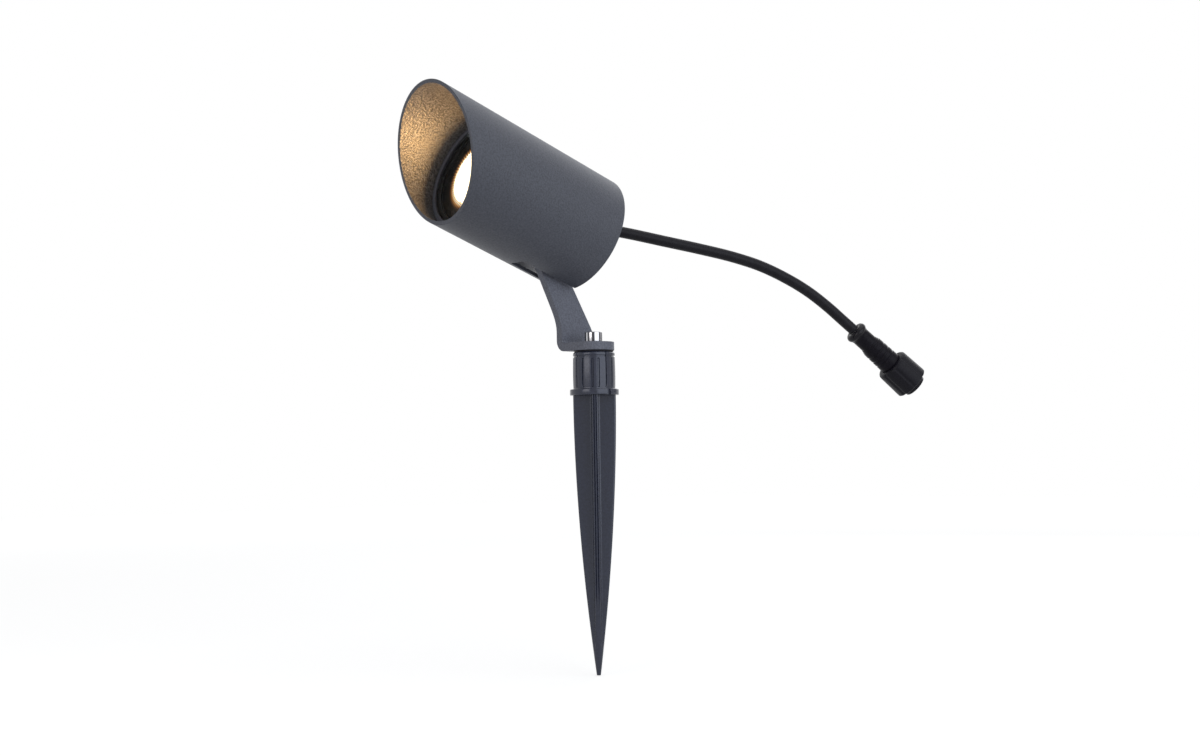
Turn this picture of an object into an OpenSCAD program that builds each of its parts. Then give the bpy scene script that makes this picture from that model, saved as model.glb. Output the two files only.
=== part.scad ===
// Garden spotlight on a ground spike: a slant-cut tube lamp on a bent plate bracket.
// Millimetres, +Z up. The origin is on the spike's axis at the ground line, which is the
// underside of the spike's flange. The lamp looks towards -Y and its cable leaves towards +Y.

/* [Ground spike] */
// Length of the spike below the ground line
spike_len = 135; // [110:1:160]
// Half width over the fins at the ground line
spike_r = 10.4; // [9:0.1:11.5]
// Thickness of a fin
fin_t = 3; // [2.4:0.1:4]
// Radius of the blunt tip
tip_r = 1; // [0.8:0.1:1.6]
// Radius of the flange that stops the spike at the soil
flange_r = 11.9; // [11.2:0.1:14]
// Thickness of the flange
flange_t = 2.9; // [2:0.1:4]
// Radius of the collar at its top
collar_r = 10.2; // [9:0.1:11]
// Height of the collar's top above the ground line
collar_h = 20.9; // [18:0.1:26]
// Turn of the fins about the spike's axis, in degrees
fin_turn = 51; // [0:1:90]

/* [Clamp bolt] */
// Radius of the bolt's shank
bolt_r = 2.5; // [2:0.25:3]
// Radius of the socket head
bolt_head_r = 4.25; // [3.8:0.05:5]
// Length of the shank under the head
bolt_len = 16; // [14:1:20]
// Thickness of the slip washer between collar and bracket
slip_washer_t = 0.8; // [0.5:0.1:1.2]

/* [Bracket] */
// Thickness of the bracket's plate
plate_t = 4; // [3:0.1:4.2]
// Half width of the foot, and radius of its round end
foot_r = 10; // [9:0.1:11.5]
// Distance from the spike's axis to the middle of the arm's plate
arm_offset = 14.2; // [12:0.1:18]
// Inside radius of the bend
bend_r = 1.5; // [1:0.1:3]
// Height of the front knee above the foot
knee_front_h = 10.3; // [8:0.1:14]
// Height of the rear knee above the foot
knee_rear_h = 5.9; // [5:0.1:9]
// Radius of the arm's round end at the pivot
arm_end_r = 6.2; // [5.6:0.1:7]
// Distance of the pivot in front of the spike's axis
pivot_fwd = 22.2; // [18:0.1:26]
// Height of the pivot above the foot's upper face
pivot_rise = 49.35; // [44:0.05:56]

/* [Lamp tube] */
// Upward tilt of the lamp in the rest pose, in degrees
rest_tilt = 19.65; // [10:0.05:30]
// Outer radius of the tube
tube_r = 30; // [29:0.1:36]
// Wall of the tube
tube_wall = 1.7; // [1.2:0.1:2.4]
// Length along the top, the long side
tube_top_len = 110; // [100:1:130]
// Length along the bottom, the short side
tube_bottom_len = 78.6; // [77:0.1:95]
// Width of the slot that the arm swings in
slot_w = 10; // [8:0.1:12]
// Length of the slot from the back end
slot_len = 34; // [33:0.1:37]
// Distance of the pivot from the tube's back end
pivot_inset = 24.8; // [23:0.1:27]
// Distance of the pivot above the tube's lower side
pivot_cover = 15.25; // [14:0.05:17]

/* [Sealed lamp] */
// Distance of the sealed lamp's rear face from the tube's back end
body_back = 40; // [38.5:0.1:44]
// Length of the sealed lamp's body
body_len = 29.2; // [28:0.1:30.5]
// Wall of the body behind the bezel's thread
body_wall = 3.2; // [2.4:0.1:4.2]
// Thickness of the body's rear wall
rear_wall_t = 3.5; // [2.5:0.1:4.5]
// Thickness of the heat plate
heat_plate_t = 4; // [3:0.1:5]
// Radius of the lens, as a share of the bore that holds the works
lens_share = 0.633; // [0.58:0.001:0.66]
// Height of the lens
lens_h = 7.5; // [6.5:0.1:8.5]
// Thickness of the front glass
glass_t = 2; // [1.5:0.1:3]
// Width of the bezel's lip, seen from the front
bezel_lip_w = 2.25; // [1.6:0.05:3.5]
// Thickness of the bezel's lip
bezel_lip_t = 1; // [0.8:0.1:1.6]
// Radius of the pivot ears
ear_r = 6; // [5:0.1:6.8]
// Thickness of one ear
ear_t = 3; // [2.4:0.1:4]

/* [Cable gland] */
// Diameter of the cable
cable_d = 5.6; // [5:0.1:6.2]
// Clearance between the pivot ears and the gland's hexagon
gland_gap = 4.1; // [1:0.1:5]
// Radius of the gland's thread
gland_r = 6; // [5.5:0.1:7]
// Width of the gland's hexagon across its flats
gland_af = 15; // [14.5:0.5:18]
// Distance that the gland stands out of the rear face
gland_out = 20; // [18:0.5:22]

/* [Cable connector] */
// Radius of the bead where the cable enters
bead_r = 5.9; // [5.2:0.1:6.6]
// Radius of the neck behind the bead
neck_r = 4.9; // [4.2:0.1:5.2]
// Radius of the barrel at the coupling nut
barrel_r = 6.1; // [5.8:0.1:6.6]
// Radius of the nose that enters the mating socket
nose_r = 6.1; // [5.6:0.1:6.2]
// Length of the whole connector
plug_len = 45.2; // [42:0.1:48]
// Largest radius of the coupling nut
nut_r = 9.4; // [9.3:0.1:11]
// Length of the coupling nut
nut_len = 15.4; // [14:0.1:17]
// Number of grip flutes round the coupling nut
nut_flutes = 8; // [6:1:12]

/* [Hidden] */
$fn = 96;

// Clearances: a running fit, a slip fit, and the overrun of every cut
play = 0.05;
slip = 0.1;
cut = 1;
// Thread depth that a modelled bore leaves round its screw
thread_gap = 0.1;

// Spike: share of the radius lost at each share of the depth is depth to this power
taper_power_share = 1.88;
spike_bands = 14;
core_r = fin_t * 0.8;
groove_w = 0.7;
groove_depth = 0.5;
rim_h = 1.8;
rim_edge = 0.6;
draft = 0.15;
flute_w = 0.9;
flute_depth = 0.4;
flute_turns = [-33, -5, 11.5, 33];
notch_w = 1.8;
notch_turn = 36;
insert_wall = 1;
insert_r = bolt_r + insert_wall;
insert_len = 10;

// Bolt head sizes, as shares of the shank for a socket head screw
head_h_share = 2;
socket_share = 0.8;
head_edge_share = 0.12;

// Heights of the stack on the collar
foot_z = collar_h + slip_washer_t + play;
foot_top = foot_z + plate_t;
head_z = foot_top + play;
pivot_z = foot_top + pivot_rise;

// Bracket
bend_x = arm_offset - plate_t / 2 - bend_r;
arm_z = foot_top + bend_r;
knee_blend = 7;
arc_steps = 8;

// Tube
tube_in_r = tube_r - tube_wall;
pivot_drop = tube_r - pivot_cover;
mouth_rise = tube_top_len - tube_bottom_len;
mouth_slope = atan(mouth_rise / (2 * tube_r));
slot_corner_r = 2;

// Sealed lamp, stations along the tube's axis from its back end
body_r = tube_in_r - play;
bezel_wall = 1;
thread_r = body_r - bezel_wall - play;
works_r = thread_r - body_wall;
body_front = body_back + body_len;
gasket_t = 0.8;
glass_z = body_front + gasket_t;
lens_gap = 0.4;
lens_front = glass_z - lens_gap;
lens_r = lens_share * works_r;
lens_base_share = 0.37;
lens_base_r = lens_base_share * lens_r;
chip_z = lens_front - lens_h;
chip_inset = 0.9;
chip_r = lens_base_r - chip_inset;
chip_h = 1;
board_t = 1.6;
board_r = lens_r - slip * 2;
board_z = chip_z - board_t;
pad_t = 0.5;
plate_z = board_z - pad_t;
ledge_z = plate_z - heat_plate_t;
ledge_w = 4.5;
ledge_h = 3;
driver_z = body_back + rear_wall_t;
glass_r = thread_r - slip;
bezel_z = glass_z + glass_t;
bezel_front = bezel_z + bezel_lip_t;
bezel_in_r = body_r - bezel_lip_w;
bezel_skirt = 9;
shoulder_z = bezel_z - bezel_skirt - slip;
lens_rim = 1.4;
lens_pocket_h = 3.2;
holder_t = 1.2;
holder_wall = 1.4;
holder_in_r = lens_r + slip * 4;
works_screw_r = 1.25;
works_head_r = 2.2;
works_head_h = 1.5;
works_screw_len = 5;
plate_screw_at = works_r - ledge_w / 2;
plate_screw_turns = [30, 150, 270];
board_screw_inset = 2.4;
board_screw_at = board_r - board_screw_inset;
board_screw_turns = [0, 180];
wire_turns = [60, 240];
wire_r = 0.7;
wire_hole_r = 1.1;
pcb_gap = 0.5;
pcb_r = works_r - ledge_w - pcb_gap;
pcb_t = 1.6;
part_h = 4;
part_gap = 0.4;
coil_h_share = 0.9;
pcb_z = ledge_z - part_gap - part_h - pcb_t;
post_r = 2.4;
post_inset = 3.4;
post_at = pcb_r - post_inset;
post_turns = [30, 150, 270];
tap_gap = 0.3;

// Pivot
washer_t = 0.6;
washer_r = 5;
ear_in = plate_t / 2 + play + washer_t;
ear_out = ear_in + ear_t;
ear_base_h = 9;
lock_nut_af = 8;
lock_nut_t = 5;
shank_spare = 1;

// Grub screw in the side of the tube
grub_r = 2;
grub_len = 4;
grub_at = 7;

// Gland, stations along the tube's axis
gland_flange_t = 5;
gland_washer_t = 1;
stub_out = 1.5;
gland_stub = gland_washer_t + rear_wall_t + stub_out;
gland_collet = 6;
gland_wall = 1.35;
gland_dome = 4;
gland_hex_r = gland_af / 2 / cos(30);
gland_rise = ear_r - pivot_drop + gland_gap + gland_hex_r;
cable_r = cable_d / 2;
core_len = 3;
cable_tail = pcb_z - body_back - core_len;
core_gap = 1.4;
gland_z = body_back - gland_washer_t;
gland_hex_z = gland_z - gland_flange_t;
gland_mouth = body_back - gland_out;

// Connector, stations along its axis from the face that the cable enters
plug_turn = 22.7;
plug_dip = 40;
bead_t = 4;
neck_end = 10.2;
barrel_start = 14.4;
neck_ribs = 3;
neck_rib_h = 0.25;
barrel_taper = 0.3;
barrel_mid_r = barrel_r - barrel_taper;
nose_out = 2.7;
nut_back = plug_len - nose_out - nut_len;
nut_front = nut_back + nut_len;
nut_lip = 1.8;
nut_slip = 0.2;
nose_gap = 1.6;
nut_bore_r = nose_r + nose_gap;
nut_round = 1.8;
nut_draft = 0.35;
nut_flute_r = 1.6;
nut_flute_depth = 0.4;
plug_flange_r = nut_bore_r - nut_slip;
plug_flange_t = 2;
plug_flange_z = nut_back + nut_lip + nut_slip;
seal_z = plug_flange_z + plug_flange_t;
seal_t = 2;
seal_groove = 0.3;
contact_at = 2.4;
contact_hole_r = 1.3;
contact_depth = 9;
key_w = 2;
key_depth = 1;
key_inset = 2.4;

// The cable's route, from the gland's mouth to the connector, chosen by hand
cable_route = [
    [-14.2, -11.4, 91.1], [-14.2, -7, 89.5], [-13.6, -1, 87.6], [-11.8, 5.5, 85.8],
    [-9.2, 12, 84.3], [-5.8, 20, 82.6], [-2.2, 28, 81.1], [4.4, 43.5, 78],
    [11.8, 61.5, 74.5], [19.3, 79.5, 70.4], [24.4, 91.5, 66.6], [29.5, 103.5, 61.1],
    [34.6, 116, 53.8], [38.9, 126, 46], [42.1, 133.8, 39.1], [44.5, 139.5, 34]
];
cable_sides = 10;
plug_at = cable_route[len(cable_route) - 1];

function unit(v) = v / norm(v);

// Points of the round corner at b, between the lines to a and c, with radius r
function corner(a, b, c, r) =
    let (
        u = unit(a - b),
        v = unit(c - b),
        half = acos(u * v) / 2,
        mid = b + unit(u + v) * r / sin(half),
        p = b + u * r / tan(half) - mid,
        q = b + v * r / tan(half) - mid,
        from = atan2(p.y, p.x),
        turn = (atan2(q.y, q.x) - from + 540) % 360 - 180
    )
    [for (i = [0:arc_steps]) mid + r * [cos(from + turn * i / arc_steps), sin(from + turn * i / arc_steps)]];

// Where the line from a touches the circle of radius r round p, on the side given
function touch(a, p, r, side) =
    let (
        d = norm(p - a),
        turn = atan2(p.y - a.y, p.x - a.x) + side * asin(r / d)
    )
    a + sqrt(d * d - r * r) * [cos(turn), sin(turn)];

// Places children in the lamp's own frame: z runs along the tube from its back end,
// y points to the tube's long side and x stays sideways
module in_lamp() {
    translate([-arm_offset, -pivot_fwd, pivot_z])
        rotate([90 - rest_tilt, 0, 0])
            translate([0, pivot_drop, -pivot_inset])
                children();
}

// Places children on the pivot, with z along the pivot's axis
module on_pivot() {
    in_lamp() translate([0, -pivot_drop, pivot_inset]) rotate([0, 90, 0]) children();
}

// Places children at the connector, with z along its axis
module in_plug() {
    translate(plug_at) rotate([0, 0, -plug_turn]) rotate([-90 - plug_dip, 0, 0]) children();
}

// Copies children round z at a radius and a list of turns
module ring_of(r, turns) {
    for (a = turns) rotate([0, 0, a]) translate([r, 0, 0]) children();
}

module tube_ring(ro, ri, h) {
    difference() {
        cylinder(r = ro, h = h);
        translate([0, 0, -cut]) cylinder(r = ri, h = h + 2 * cut);
    }
}

// A socket head screw: the head stands on z = 0 and the shank runs down from it
module socket_screw(r, head_r, len) {
    head_h = head_h_share * r;
    edge = head_edge_share * head_r;
    socket_r = socket_share * r;
    difference() {
        union() {
            cylinder(r = head_r, h = head_h - edge);
            translate([0, 0, head_h - edge]) cylinder(r1 = head_r, r2 = head_r - edge, h = edge);
            translate([0, 0, -len]) cylinder(r = r, h = len);
        }
        translate([0, 0, head_h / 2]) cylinder(r = socket_r / cos(30), h = head_h, $fn = 6);
    }
}

// A small pan head screw, head on z = 0 and shank below
module pan_screw(r, head_r, head_h, len) {
    difference() {
        union() {
            cylinder(r1 = head_r, r2 = head_r * 0.8, h = head_h);
            translate([0, 0, -len]) cylinder(r = r, h = len);
        }
        translate([0, 0, head_h / 2]) cylinder(r = r * 0.8, h = head_h, $fn = 6);
    }
}

// Radius of the spike at a depth below the ground line
function spike_radius(d) = tip_r + (spike_r - tip_r) * (1 - pow(d / spike_len, taper_power_share));

module spike_fins() {
    intersection() {
        rotate_extrude()
            polygon(concat(
                [[0, 0]],
                [for (i = [0:spike_bands]) let (d = spike_len * i / spike_bands) [spike_radius(d), -d]],
                [[tip_r / 2, -spike_len - tip_r / 2], [0, -spike_len - tip_r / 2]]
            ));
        union() {
            for (a = [0, 90])
                rotate([0, 0, fin_turn + a])
                    translate([-spike_r - cut, -fin_t / 2, -spike_len - tip_r])
                        cube([2 * (spike_r + cut), fin_t, spike_len + tip_r]);
            translate([0, 0, -spike_len - tip_r]) cylinder(r = core_r, h = spike_len + tip_r);
        }
    }
}

module ground_spike() {
    groove_z = collar_h - rim_h - groove_w;
    flute_len = groove_z - flange_t - 2 * groove_w;
    color("#46464f") {
        difference() {
            union() {
                spike_fins();
                cylinder(r = flange_r, h = flange_t);
                rotate_extrude() polygon([
                    [0, 0], [collar_r + draft, 0], [collar_r, groove_z], [collar_r - groove_depth, groove_z],
                    [collar_r - groove_depth, groove_z + groove_w], [collar_r, groove_z + groove_w],
                    [collar_r, collar_h - rim_edge], [collar_r - rim_edge, collar_h], [0, collar_h]
                ]);
            }
            translate([0, 0, collar_h - insert_len]) cylinder(r = insert_r, h = insert_len + cut);
            translate([0, 0, head_z - bolt_len - cut]) cylinder(r = bolt_r + slip, h = bolt_len);
            for (q = [0:3]) {
                for (a = flute_turns)
                    let (flute_h = a == max(flute_turns) ? collar_h : flute_len)
                        rotate([0, 0, fin_turn + 90 * q + a])
                            translate([collar_r - flute_depth, -flute_w / 2, flange_t + groove_w])
                                cube([flute_depth + draft + cut, flute_w, flute_h]);
                rotate([0, 0, fin_turn + 90 * q + notch_turn])
                    translate([collar_r + draft, -notch_w / 2, -cut])
                        cube([flange_r, notch_w, flange_t + 2 * cut]);
            }
        }
    }
}

module spike_insert() {
    color("#b08d4a")
        translate([0, 0, collar_h - insert_len]) tube_ring(insert_r, bolt_r + thread_gap, insert_len);
}

module clamp_bolt() {
    color("#c9c9cc")
        translate([0, 0, head_z]) socket_screw(bolt_r, bolt_head_r, bolt_len);
}

module slip_washer() {
    color("#26262a")
        translate([0, 0, collar_h])
            tube_ring(collar_r - rim_edge - slip, bolt_r + thread_gap, slip_washer_t);
}

// Side view of the arm: a dog-leg that narrows to a round end at the pivot
module arm_outline() {
    p = [-pivot_fwd, pivot_z];
    front = [-foot_r, foot_top + knee_front_h];
    rear = [foot_r, foot_top + knee_rear_h];
    front_end = touch(front, p, arm_end_r, 1);
    rear_end = touch(rear, p, arm_end_r, -1);
    front_low = [-foot_r, arm_z];
    rear_low = [foot_r, arm_z];
    polygon(concat(
        [front_low],
        corner(front_low, front, front_end, knee_blend),
        [front_end, rear_end],
        corner(rear_end, rear, rear_low, knee_blend / 2),
        [rear_low]
    ));
    translate(p) circle(r = arm_end_r);
}

module bracket() {
    color("#5a5b66")
        difference() {
            union() {
                translate([0, 0, foot_z]) {
                    cylinder(r = foot_r, h = plate_t);
                    translate([-bend_x, -foot_r, 0]) cube([bend_x, 2 * foot_r, plate_t]);
                }
                translate([-bend_x, foot_r, foot_top + bend_r])
                    rotate([90, 0, 0])
                        linear_extrude(2 * foot_r)
                            intersection() {
                                difference() {
                                    circle(r = bend_r + plate_t);
                                    circle(r = bend_r);
                                }
                                translate([-bend_r - plate_t, -bend_r - plate_t]) square(bend_r + plate_t);
                            }
                translate([-arm_offset - plate_t / 2, 0, 0])
                    rotate([90, 0, 90])
                        linear_extrude(plate_t) arm_outline();
            }
            translate([0, 0, foot_z - cut]) cylinder(r = bolt_r + play, h = plate_t + 2 * cut);
            on_pivot() translate([0, 0, -plate_t]) cylinder(r = bolt_r + play, h = 2 * plate_t);
        }
}

module outer_tube() {
    color("#55585f")
        in_lamp()
            difference() {
                cylinder(r = tube_r, h = tube_top_len);
                translate([0, 0, -cut]) cylinder(r = tube_in_r, h = tube_top_len + 2 * cut);
                translate([-tube_r - cut, -tube_r, tube_bottom_len])
                    rotate([mouth_slope, 0, 0])
                        translate([0, -mouth_rise, 0])
                            cube([2 * (tube_r + cut), 4 * tube_r + mouth_rise, 2 * mouth_rise]);
                translate([-slot_w / 2, -tube_r - cut, -cut])
                    cube([slot_w, tube_r / 2, slot_len - slot_corner_r + cut]);
                translate([-slot_w / 2 + slot_corner_r, -tube_r - cut, 0])
                    cube([slot_w - 2 * slot_corner_r, tube_r / 2, slot_len]);
                for (x = [-1, 1])
                    translate([x * (slot_w / 2 - slot_corner_r), -tube_r - cut, slot_len - slot_corner_r])
                        rotate([-90, 0, 0]) cylinder(r = slot_corner_r, h = tube_r / 2);
                translate([-tube_r - cut, 0, body_back + grub_at])
                    rotate([0, 90, 0]) cylinder(r = grub_r + thread_gap, h = tube_wall + 2 * cut);
            }
}

module tube_grub_screw() {
    color("#3a3a3e")
        in_lamp()
            translate([-tube_r, 0, body_back + grub_at])
                rotate([0, 90, 0])
                    difference() {
                        cylinder(r = grub_r, h = grub_len);
                        translate([0, 0, -cut]) cylinder(r = grub_r / 2, h = grub_len / 2 + cut, $fn = 6);
                    }
}

// Outline of one pivot ear in the lamp's y and z, widening towards the body
module ear_outline() {
    p = [-pivot_drop, pivot_inset];
    low = [-pivot_drop - ear_base_h, body_back + play];
    high = [-pivot_drop + ear_r, body_back + play];
    polygon([low, touch(low, p, ear_r, -1), p + [ear_r, 0], high]);
    translate(p) circle(r = ear_r);
}

module lamp_body() {
    color("#4d4f57")
        in_lamp()
            difference() {
                union() {
                    translate([0, 0, body_back]) cylinder(r = body_r, h = shoulder_z - body_back);
                    translate([0, 0, body_back]) cylinder(r = thread_r, h = body_len);
                    for (x = [-ear_out, ear_in])
                        translate([x, 0, 0])
                            multmatrix([[0, 0, 1, 0], [1, 0, 0, 0], [0, 1, 0, 0], [0, 0, 0, 1]])
                                linear_extrude(ear_t) ear_outline();
                }
                difference() {
                    translate([0, 0, driver_z]) cylinder(r = works_r, h = body_len);
                    translate([0, 0, ledge_z - ledge_h]) tube_ring(works_r + cut, works_r - ledge_w, ledge_h);
                    translate([0, 0, driver_z - cut]) ring_of(post_at, post_turns)
                        cylinder(r = post_r, h = pcb_z - driver_z + cut);
                }
                translate([0, gland_rise, body_back - cut])
                    cylinder(r = gland_r + thread_gap, h = rear_wall_t + 2 * cut);
                translate([0, 0, pcb_z + pcb_t - works_screw_len - tap_gap]) ring_of(post_at, post_turns)
                    cylinder(r = works_screw_r + thread_gap, h = works_screw_len + cut);
                translate([0, 0, ledge_z - ledge_h - cut]) ring_of(plate_screw_at, plate_screw_turns)
                    cylinder(r = works_screw_r + thread_gap, h = ledge_h + 2 * cut);
                translate([-ear_out - cut, -pivot_drop, pivot_inset])
                    rotate([0, 90, 0]) cylinder(r = bolt_r + slip, h = 2 * (ear_out + cut));
                translate([-body_r - cut, 0, body_back + grub_at])
                    rotate([0, 90, 0]) cylinder(r = grub_r + thread_gap, h = grub_len - tube_wall + cut);
            }
}

module heat_plate() {
    color("#b4b6ba")
        in_lamp()
            translate([0, 0, ledge_z])
                difference() {
                    cylinder(r = works_r - slip, h = heat_plate_t);
                    translate([0, 0, -cut]) ring_of(plate_screw_at, plate_screw_turns)
                        cylinder(r = works_screw_r + slip, h = heat_plate_t + 2 * cut);
                    translate([0, 0, -cut]) ring_of(board_screw_at, wire_turns)
                        cylinder(r = wire_hole_r, h = heat_plate_t + 2 * cut);
                    translate([0, 0, heat_plate_t / 2]) ring_of(board_screw_at, board_screw_turns)
                        cylinder(r = works_screw_r + slip, h = heat_plate_t);
                }
}

module plate_screws() {
    color("#9a9ca0")
        in_lamp() translate([0, 0, plate_z]) ring_of(plate_screw_at, plate_screw_turns)
            pan_screw(works_screw_r, works_head_r, works_head_h, heat_plate_t + ledge_h / 2);
}

// Disc under the LED board and the board itself share their outline and holes
module board_disc(h) {
    difference() {
        cylinder(r = board_r, h = h);
        translate([0, 0, -cut]) ring_of(board_screw_at, concat(board_screw_turns, wire_turns))
            cylinder(r = works_screw_r + slip, h = h + 2 * cut);
    }
}

module thermal_pad() {
    color("#8f97a8") in_lamp() translate([0, 0, plate_z]) board_disc(pad_t);
}

module led_board() {
    color("#e8e8e4") in_lamp() translate([0, 0, board_z]) board_disc(board_t);
}

module led_chip() {
    color("#f0c83c") in_lamp() translate([0, 0, chip_z]) cylinder(r = chip_r, h = chip_h);
}

module board_screws() {
    color("#9a9ca0")
        in_lamp() translate([0, 0, chip_z]) ring_of(board_screw_at, board_screw_turns)
            pan_screw(works_screw_r, works_head_r, works_head_h, board_t + pad_t + heat_plate_t / 2 - slip);
}

module lens() {
    color("#fffaf0")
        in_lamp()
            rotate_extrude() polygon([
                [0, chip_z + lens_pocket_h], [chip_r + slip, chip_z + lens_pocket_h],
                [chip_r + slip, chip_z], [lens_base_r, chip_z], [lens_r - slip, lens_front - lens_rim],
                [lens_r, lens_front - lens_rim], [lens_r, lens_front], [0, lens_front]
            ]);
}

module lens_holder() {
    color("#1c1c1e")
        in_lamp()
            rotate_extrude() polygon([
                [holder_in_r, plate_z], [holder_in_r + holder_wall, plate_z],
                [holder_in_r + holder_wall, body_front - holder_t], [works_r - slip, body_front - holder_t],
                [works_r - slip, body_front], [lens_r + slip, body_front],
                [lens_r + slip, body_front - holder_t], [holder_in_r, body_front - holder_t]
            ]);
}

module front_gasket() {
    color("#2a2a2c")
        in_lamp() translate([0, 0, body_front]) tube_ring(glass_r - slip, works_r + slip, gasket_t);
}

module front_glass() {
    color("#cfd8da", 0.35)
        in_lamp() translate([0, 0, glass_z]) cylinder(r = glass_r, h = glass_t);
}

module bezel_ring() {
    color("#5a5a62")
        in_lamp()
            rotate_extrude() polygon([
                [thread_r + play, bezel_z - bezel_skirt], [body_r, bezel_z - bezel_skirt],
                [body_r, bezel_front - bezel_lip_t / 4], [body_r - bezel_lip_t / 4, bezel_front],
                [bezel_in_r + bezel_lip_t / 2, bezel_front], [bezel_in_r, bezel_front - bezel_lip_t / 2],
                [bezel_in_r, bezel_z], [thread_r + play, bezel_z]
            ]);
}

module driver_board() {
    color("#2f6b46")
        in_lamp()
            translate([0, 0, pcb_z])
                difference() {
                    cylinder(r = pcb_r, h = pcb_t);
                    translate([0, 0, -cut]) ring_of(post_at, post_turns)
                        cylinder(r = works_screw_r + slip, h = pcb_t + 2 * cut);
                }
}

// Coil, capacitor, bridge and control chip on the driver board
module driver_parts() {
    coil_r = 4;
    coil_h = coil_h_share * part_h;
    cap_r = 2.6;
    chip_w = 4;
    chip_t = 1.4;
    place = pcb_r / 3;
    in_lamp()
        translate([0, 0, pcb_z + pcb_t]) {
            color("#3b3b40") translate([place, -place / 3, 0]) cylinder(r = coil_r, h = coil_h);
            color("#2d4f8a") translate([-place, place / 2, 0]) cylinder(r = cap_r, h = part_h);
            color("#1e1e20") {
                translate([-place - chip_w / 2, -place - chip_w / 2, 0]) cube([chip_w, chip_w, chip_t]);
                translate([-chip_w / 4, place - chip_w / 2, 0]) cube([chip_w, chip_w * 0.75, chip_t]);
            }
        }
}

module driver_screws() {
    color("#9a9ca0")
        in_lamp() translate([0, 0, pcb_z + pcb_t]) ring_of(post_at, post_turns)
            pan_screw(works_screw_r, works_head_r, works_head_h, works_screw_len);
}

// Two wires through the heat plate to the LED board, and the cable's cores to the driver
module lead_wires() {
    color("#c03a2e")
        in_lamp() {
            translate([0, 0, pcb_z + pcb_t]) ring_of(board_screw_at, wire_turns)
                cylinder(r = wire_r, h = chip_z - pcb_z - pcb_t);
            for (x = [-core_gap, core_gap])
                translate([x, gland_rise, body_back + cable_tail])
                    cylinder(r = wire_r, h = core_len);
        }
}

module gland_washer() {
    color("#2a2a2c")
        in_lamp() translate([0, gland_rise, gland_z])
            tube_ring(gland_af / 2 + slip, gland_r + slip, gland_washer_t);
}

module gland_body() {
    bore_len = gland_collet + gland_flange_t + gland_stub;
    color("#1f1f22")
        in_lamp()
            translate([0, gland_rise, 0])
                difference() {
                    union() {
                        translate([0, 0, gland_hex_z])
                            cylinder(r = gland_hex_r, h = gland_flange_t, $fn = 6);
                        translate([0, 0, gland_z]) cylinder(r = gland_r, h = gland_stub);
                        translate([0, 0, gland_hex_z - gland_collet]) cylinder(r = gland_r, h = gland_collet);
                    }
                    translate([0, 0, gland_hex_z - gland_collet - cut])
                        cylinder(r = cable_r + slip, h = bore_len + 2 * cut);
                    translate([0, 0, gland_hex_z - gland_collet - cut])
                        cylinder(r = gland_r - gland_wall, h = gland_collet + cut);
                }
}

module gland_seal() {
    color("#303034")
        in_lamp() translate([0, gland_rise, gland_hex_z - gland_collet])
            tube_ring(gland_r - gland_wall - play, cable_r + play, gland_collet);
}

// Dome nut of the gland: six flats on a round body that narrows to the cable
module gland_nut() {
    nut_z = gland_hex_z - slip;
    color("#1f1f22")
        in_lamp()
            translate([0, gland_rise, 0])
                difference() {
                    intersection() {
                        rotate_extrude() polygon([
                            [0, gland_mouth], [cable_r + gland_wall, gland_mouth],
                            [gland_r, gland_mouth + gland_dome / 4],
                            [gland_af / 2 + gland_wall / 2, gland_mouth + gland_dome],
                            [gland_af / 2 + gland_wall / 2, nut_z], [0, nut_z]
                        ]);
                        translate([0, 0, gland_mouth])
                            cylinder(r = gland_hex_r, h = nut_z - gland_mouth, $fn = 6);
                    }
                    translate([0, 0, gland_mouth - cut]) cylinder(r = cable_r + slip, h = gland_out);
                    translate([0, 0, gland_mouth + gland_dome])
                        cylinder(r = gland_r + slip, h = gland_out);
                }
}

module cable_end() {
    color("#27272a")
        in_lamp() translate([0, gland_rise, gland_mouth + slip])
            cylinder(r = cable_r, h = gland_out + cable_tail - slip);
}

module pivot_screw() {
    color("#c9c9cc")
        on_pivot() translate([0, 0, ear_out])
            socket_screw(bolt_r, bolt_head_r, 2 * ear_out + lock_nut_t + shank_spare);
}

module pivot_nut() {
    dome_h = lock_nut_t / 4;
    color("#b9b9bd")
        on_pivot() translate([0, 0, -ear_out])
            rotate([180, 0, 0])
                difference() {
                    union() {
                        cylinder(r = lock_nut_af / 2 / cos(30), h = lock_nut_t - dome_h, $fn = 6);
                        cylinder(r = lock_nut_af / 2 - slip, h = lock_nut_t);
                    }
                    translate([0, 0, -cut]) cylinder(r = bolt_r + thread_gap, h = lock_nut_t + 2 * cut);
                }
}

module pivot_washers() {
    color("#e0dfd8")
        on_pivot()
            for (z = [-ear_in, ear_in - washer_t])
                translate([0, 0, z]) tube_ring(washer_r, bolt_r + thread_gap, washer_t);
}

// Round tube swept along the cable's route, with a ring at each point of the route
module cable() {
    last = len(cable_route) - 1;
    rings = [
        for (i = [0:last])
            let (
                t = unit(cable_route[min(i + 1, last)] - cable_route[max(i - 1, 0)]),
                u = unit(cross([0, 0, 1], t)),
                v = cross(t, u)
            )
            [for (k = [0:cable_sides - 1])
                cable_route[i] + cable_r * (cos(360 * k / cable_sides) * u + sin(360 * k / cable_sides) * v)]
    ];
    points = [for (ring = rings) for (p = ring) p];
    sides = [
        for (i = [0:last - 1])
            for (k = [0:cable_sides - 1])
                let (
                    a = i * cable_sides + k,
                    b = i * cable_sides + (k + 1) % cable_sides
                )
                [a, a + cable_sides, b + cable_sides, b]
    ];
    ends = [
        [for (k = [0:cable_sides - 1]) k],
        [for (k = [0:cable_sides - 1]) (last + 1) * cable_sides - 1 - k]
    ];
    color("#303034") polyhedron(points = points, faces = concat(sides, ends));
}

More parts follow.
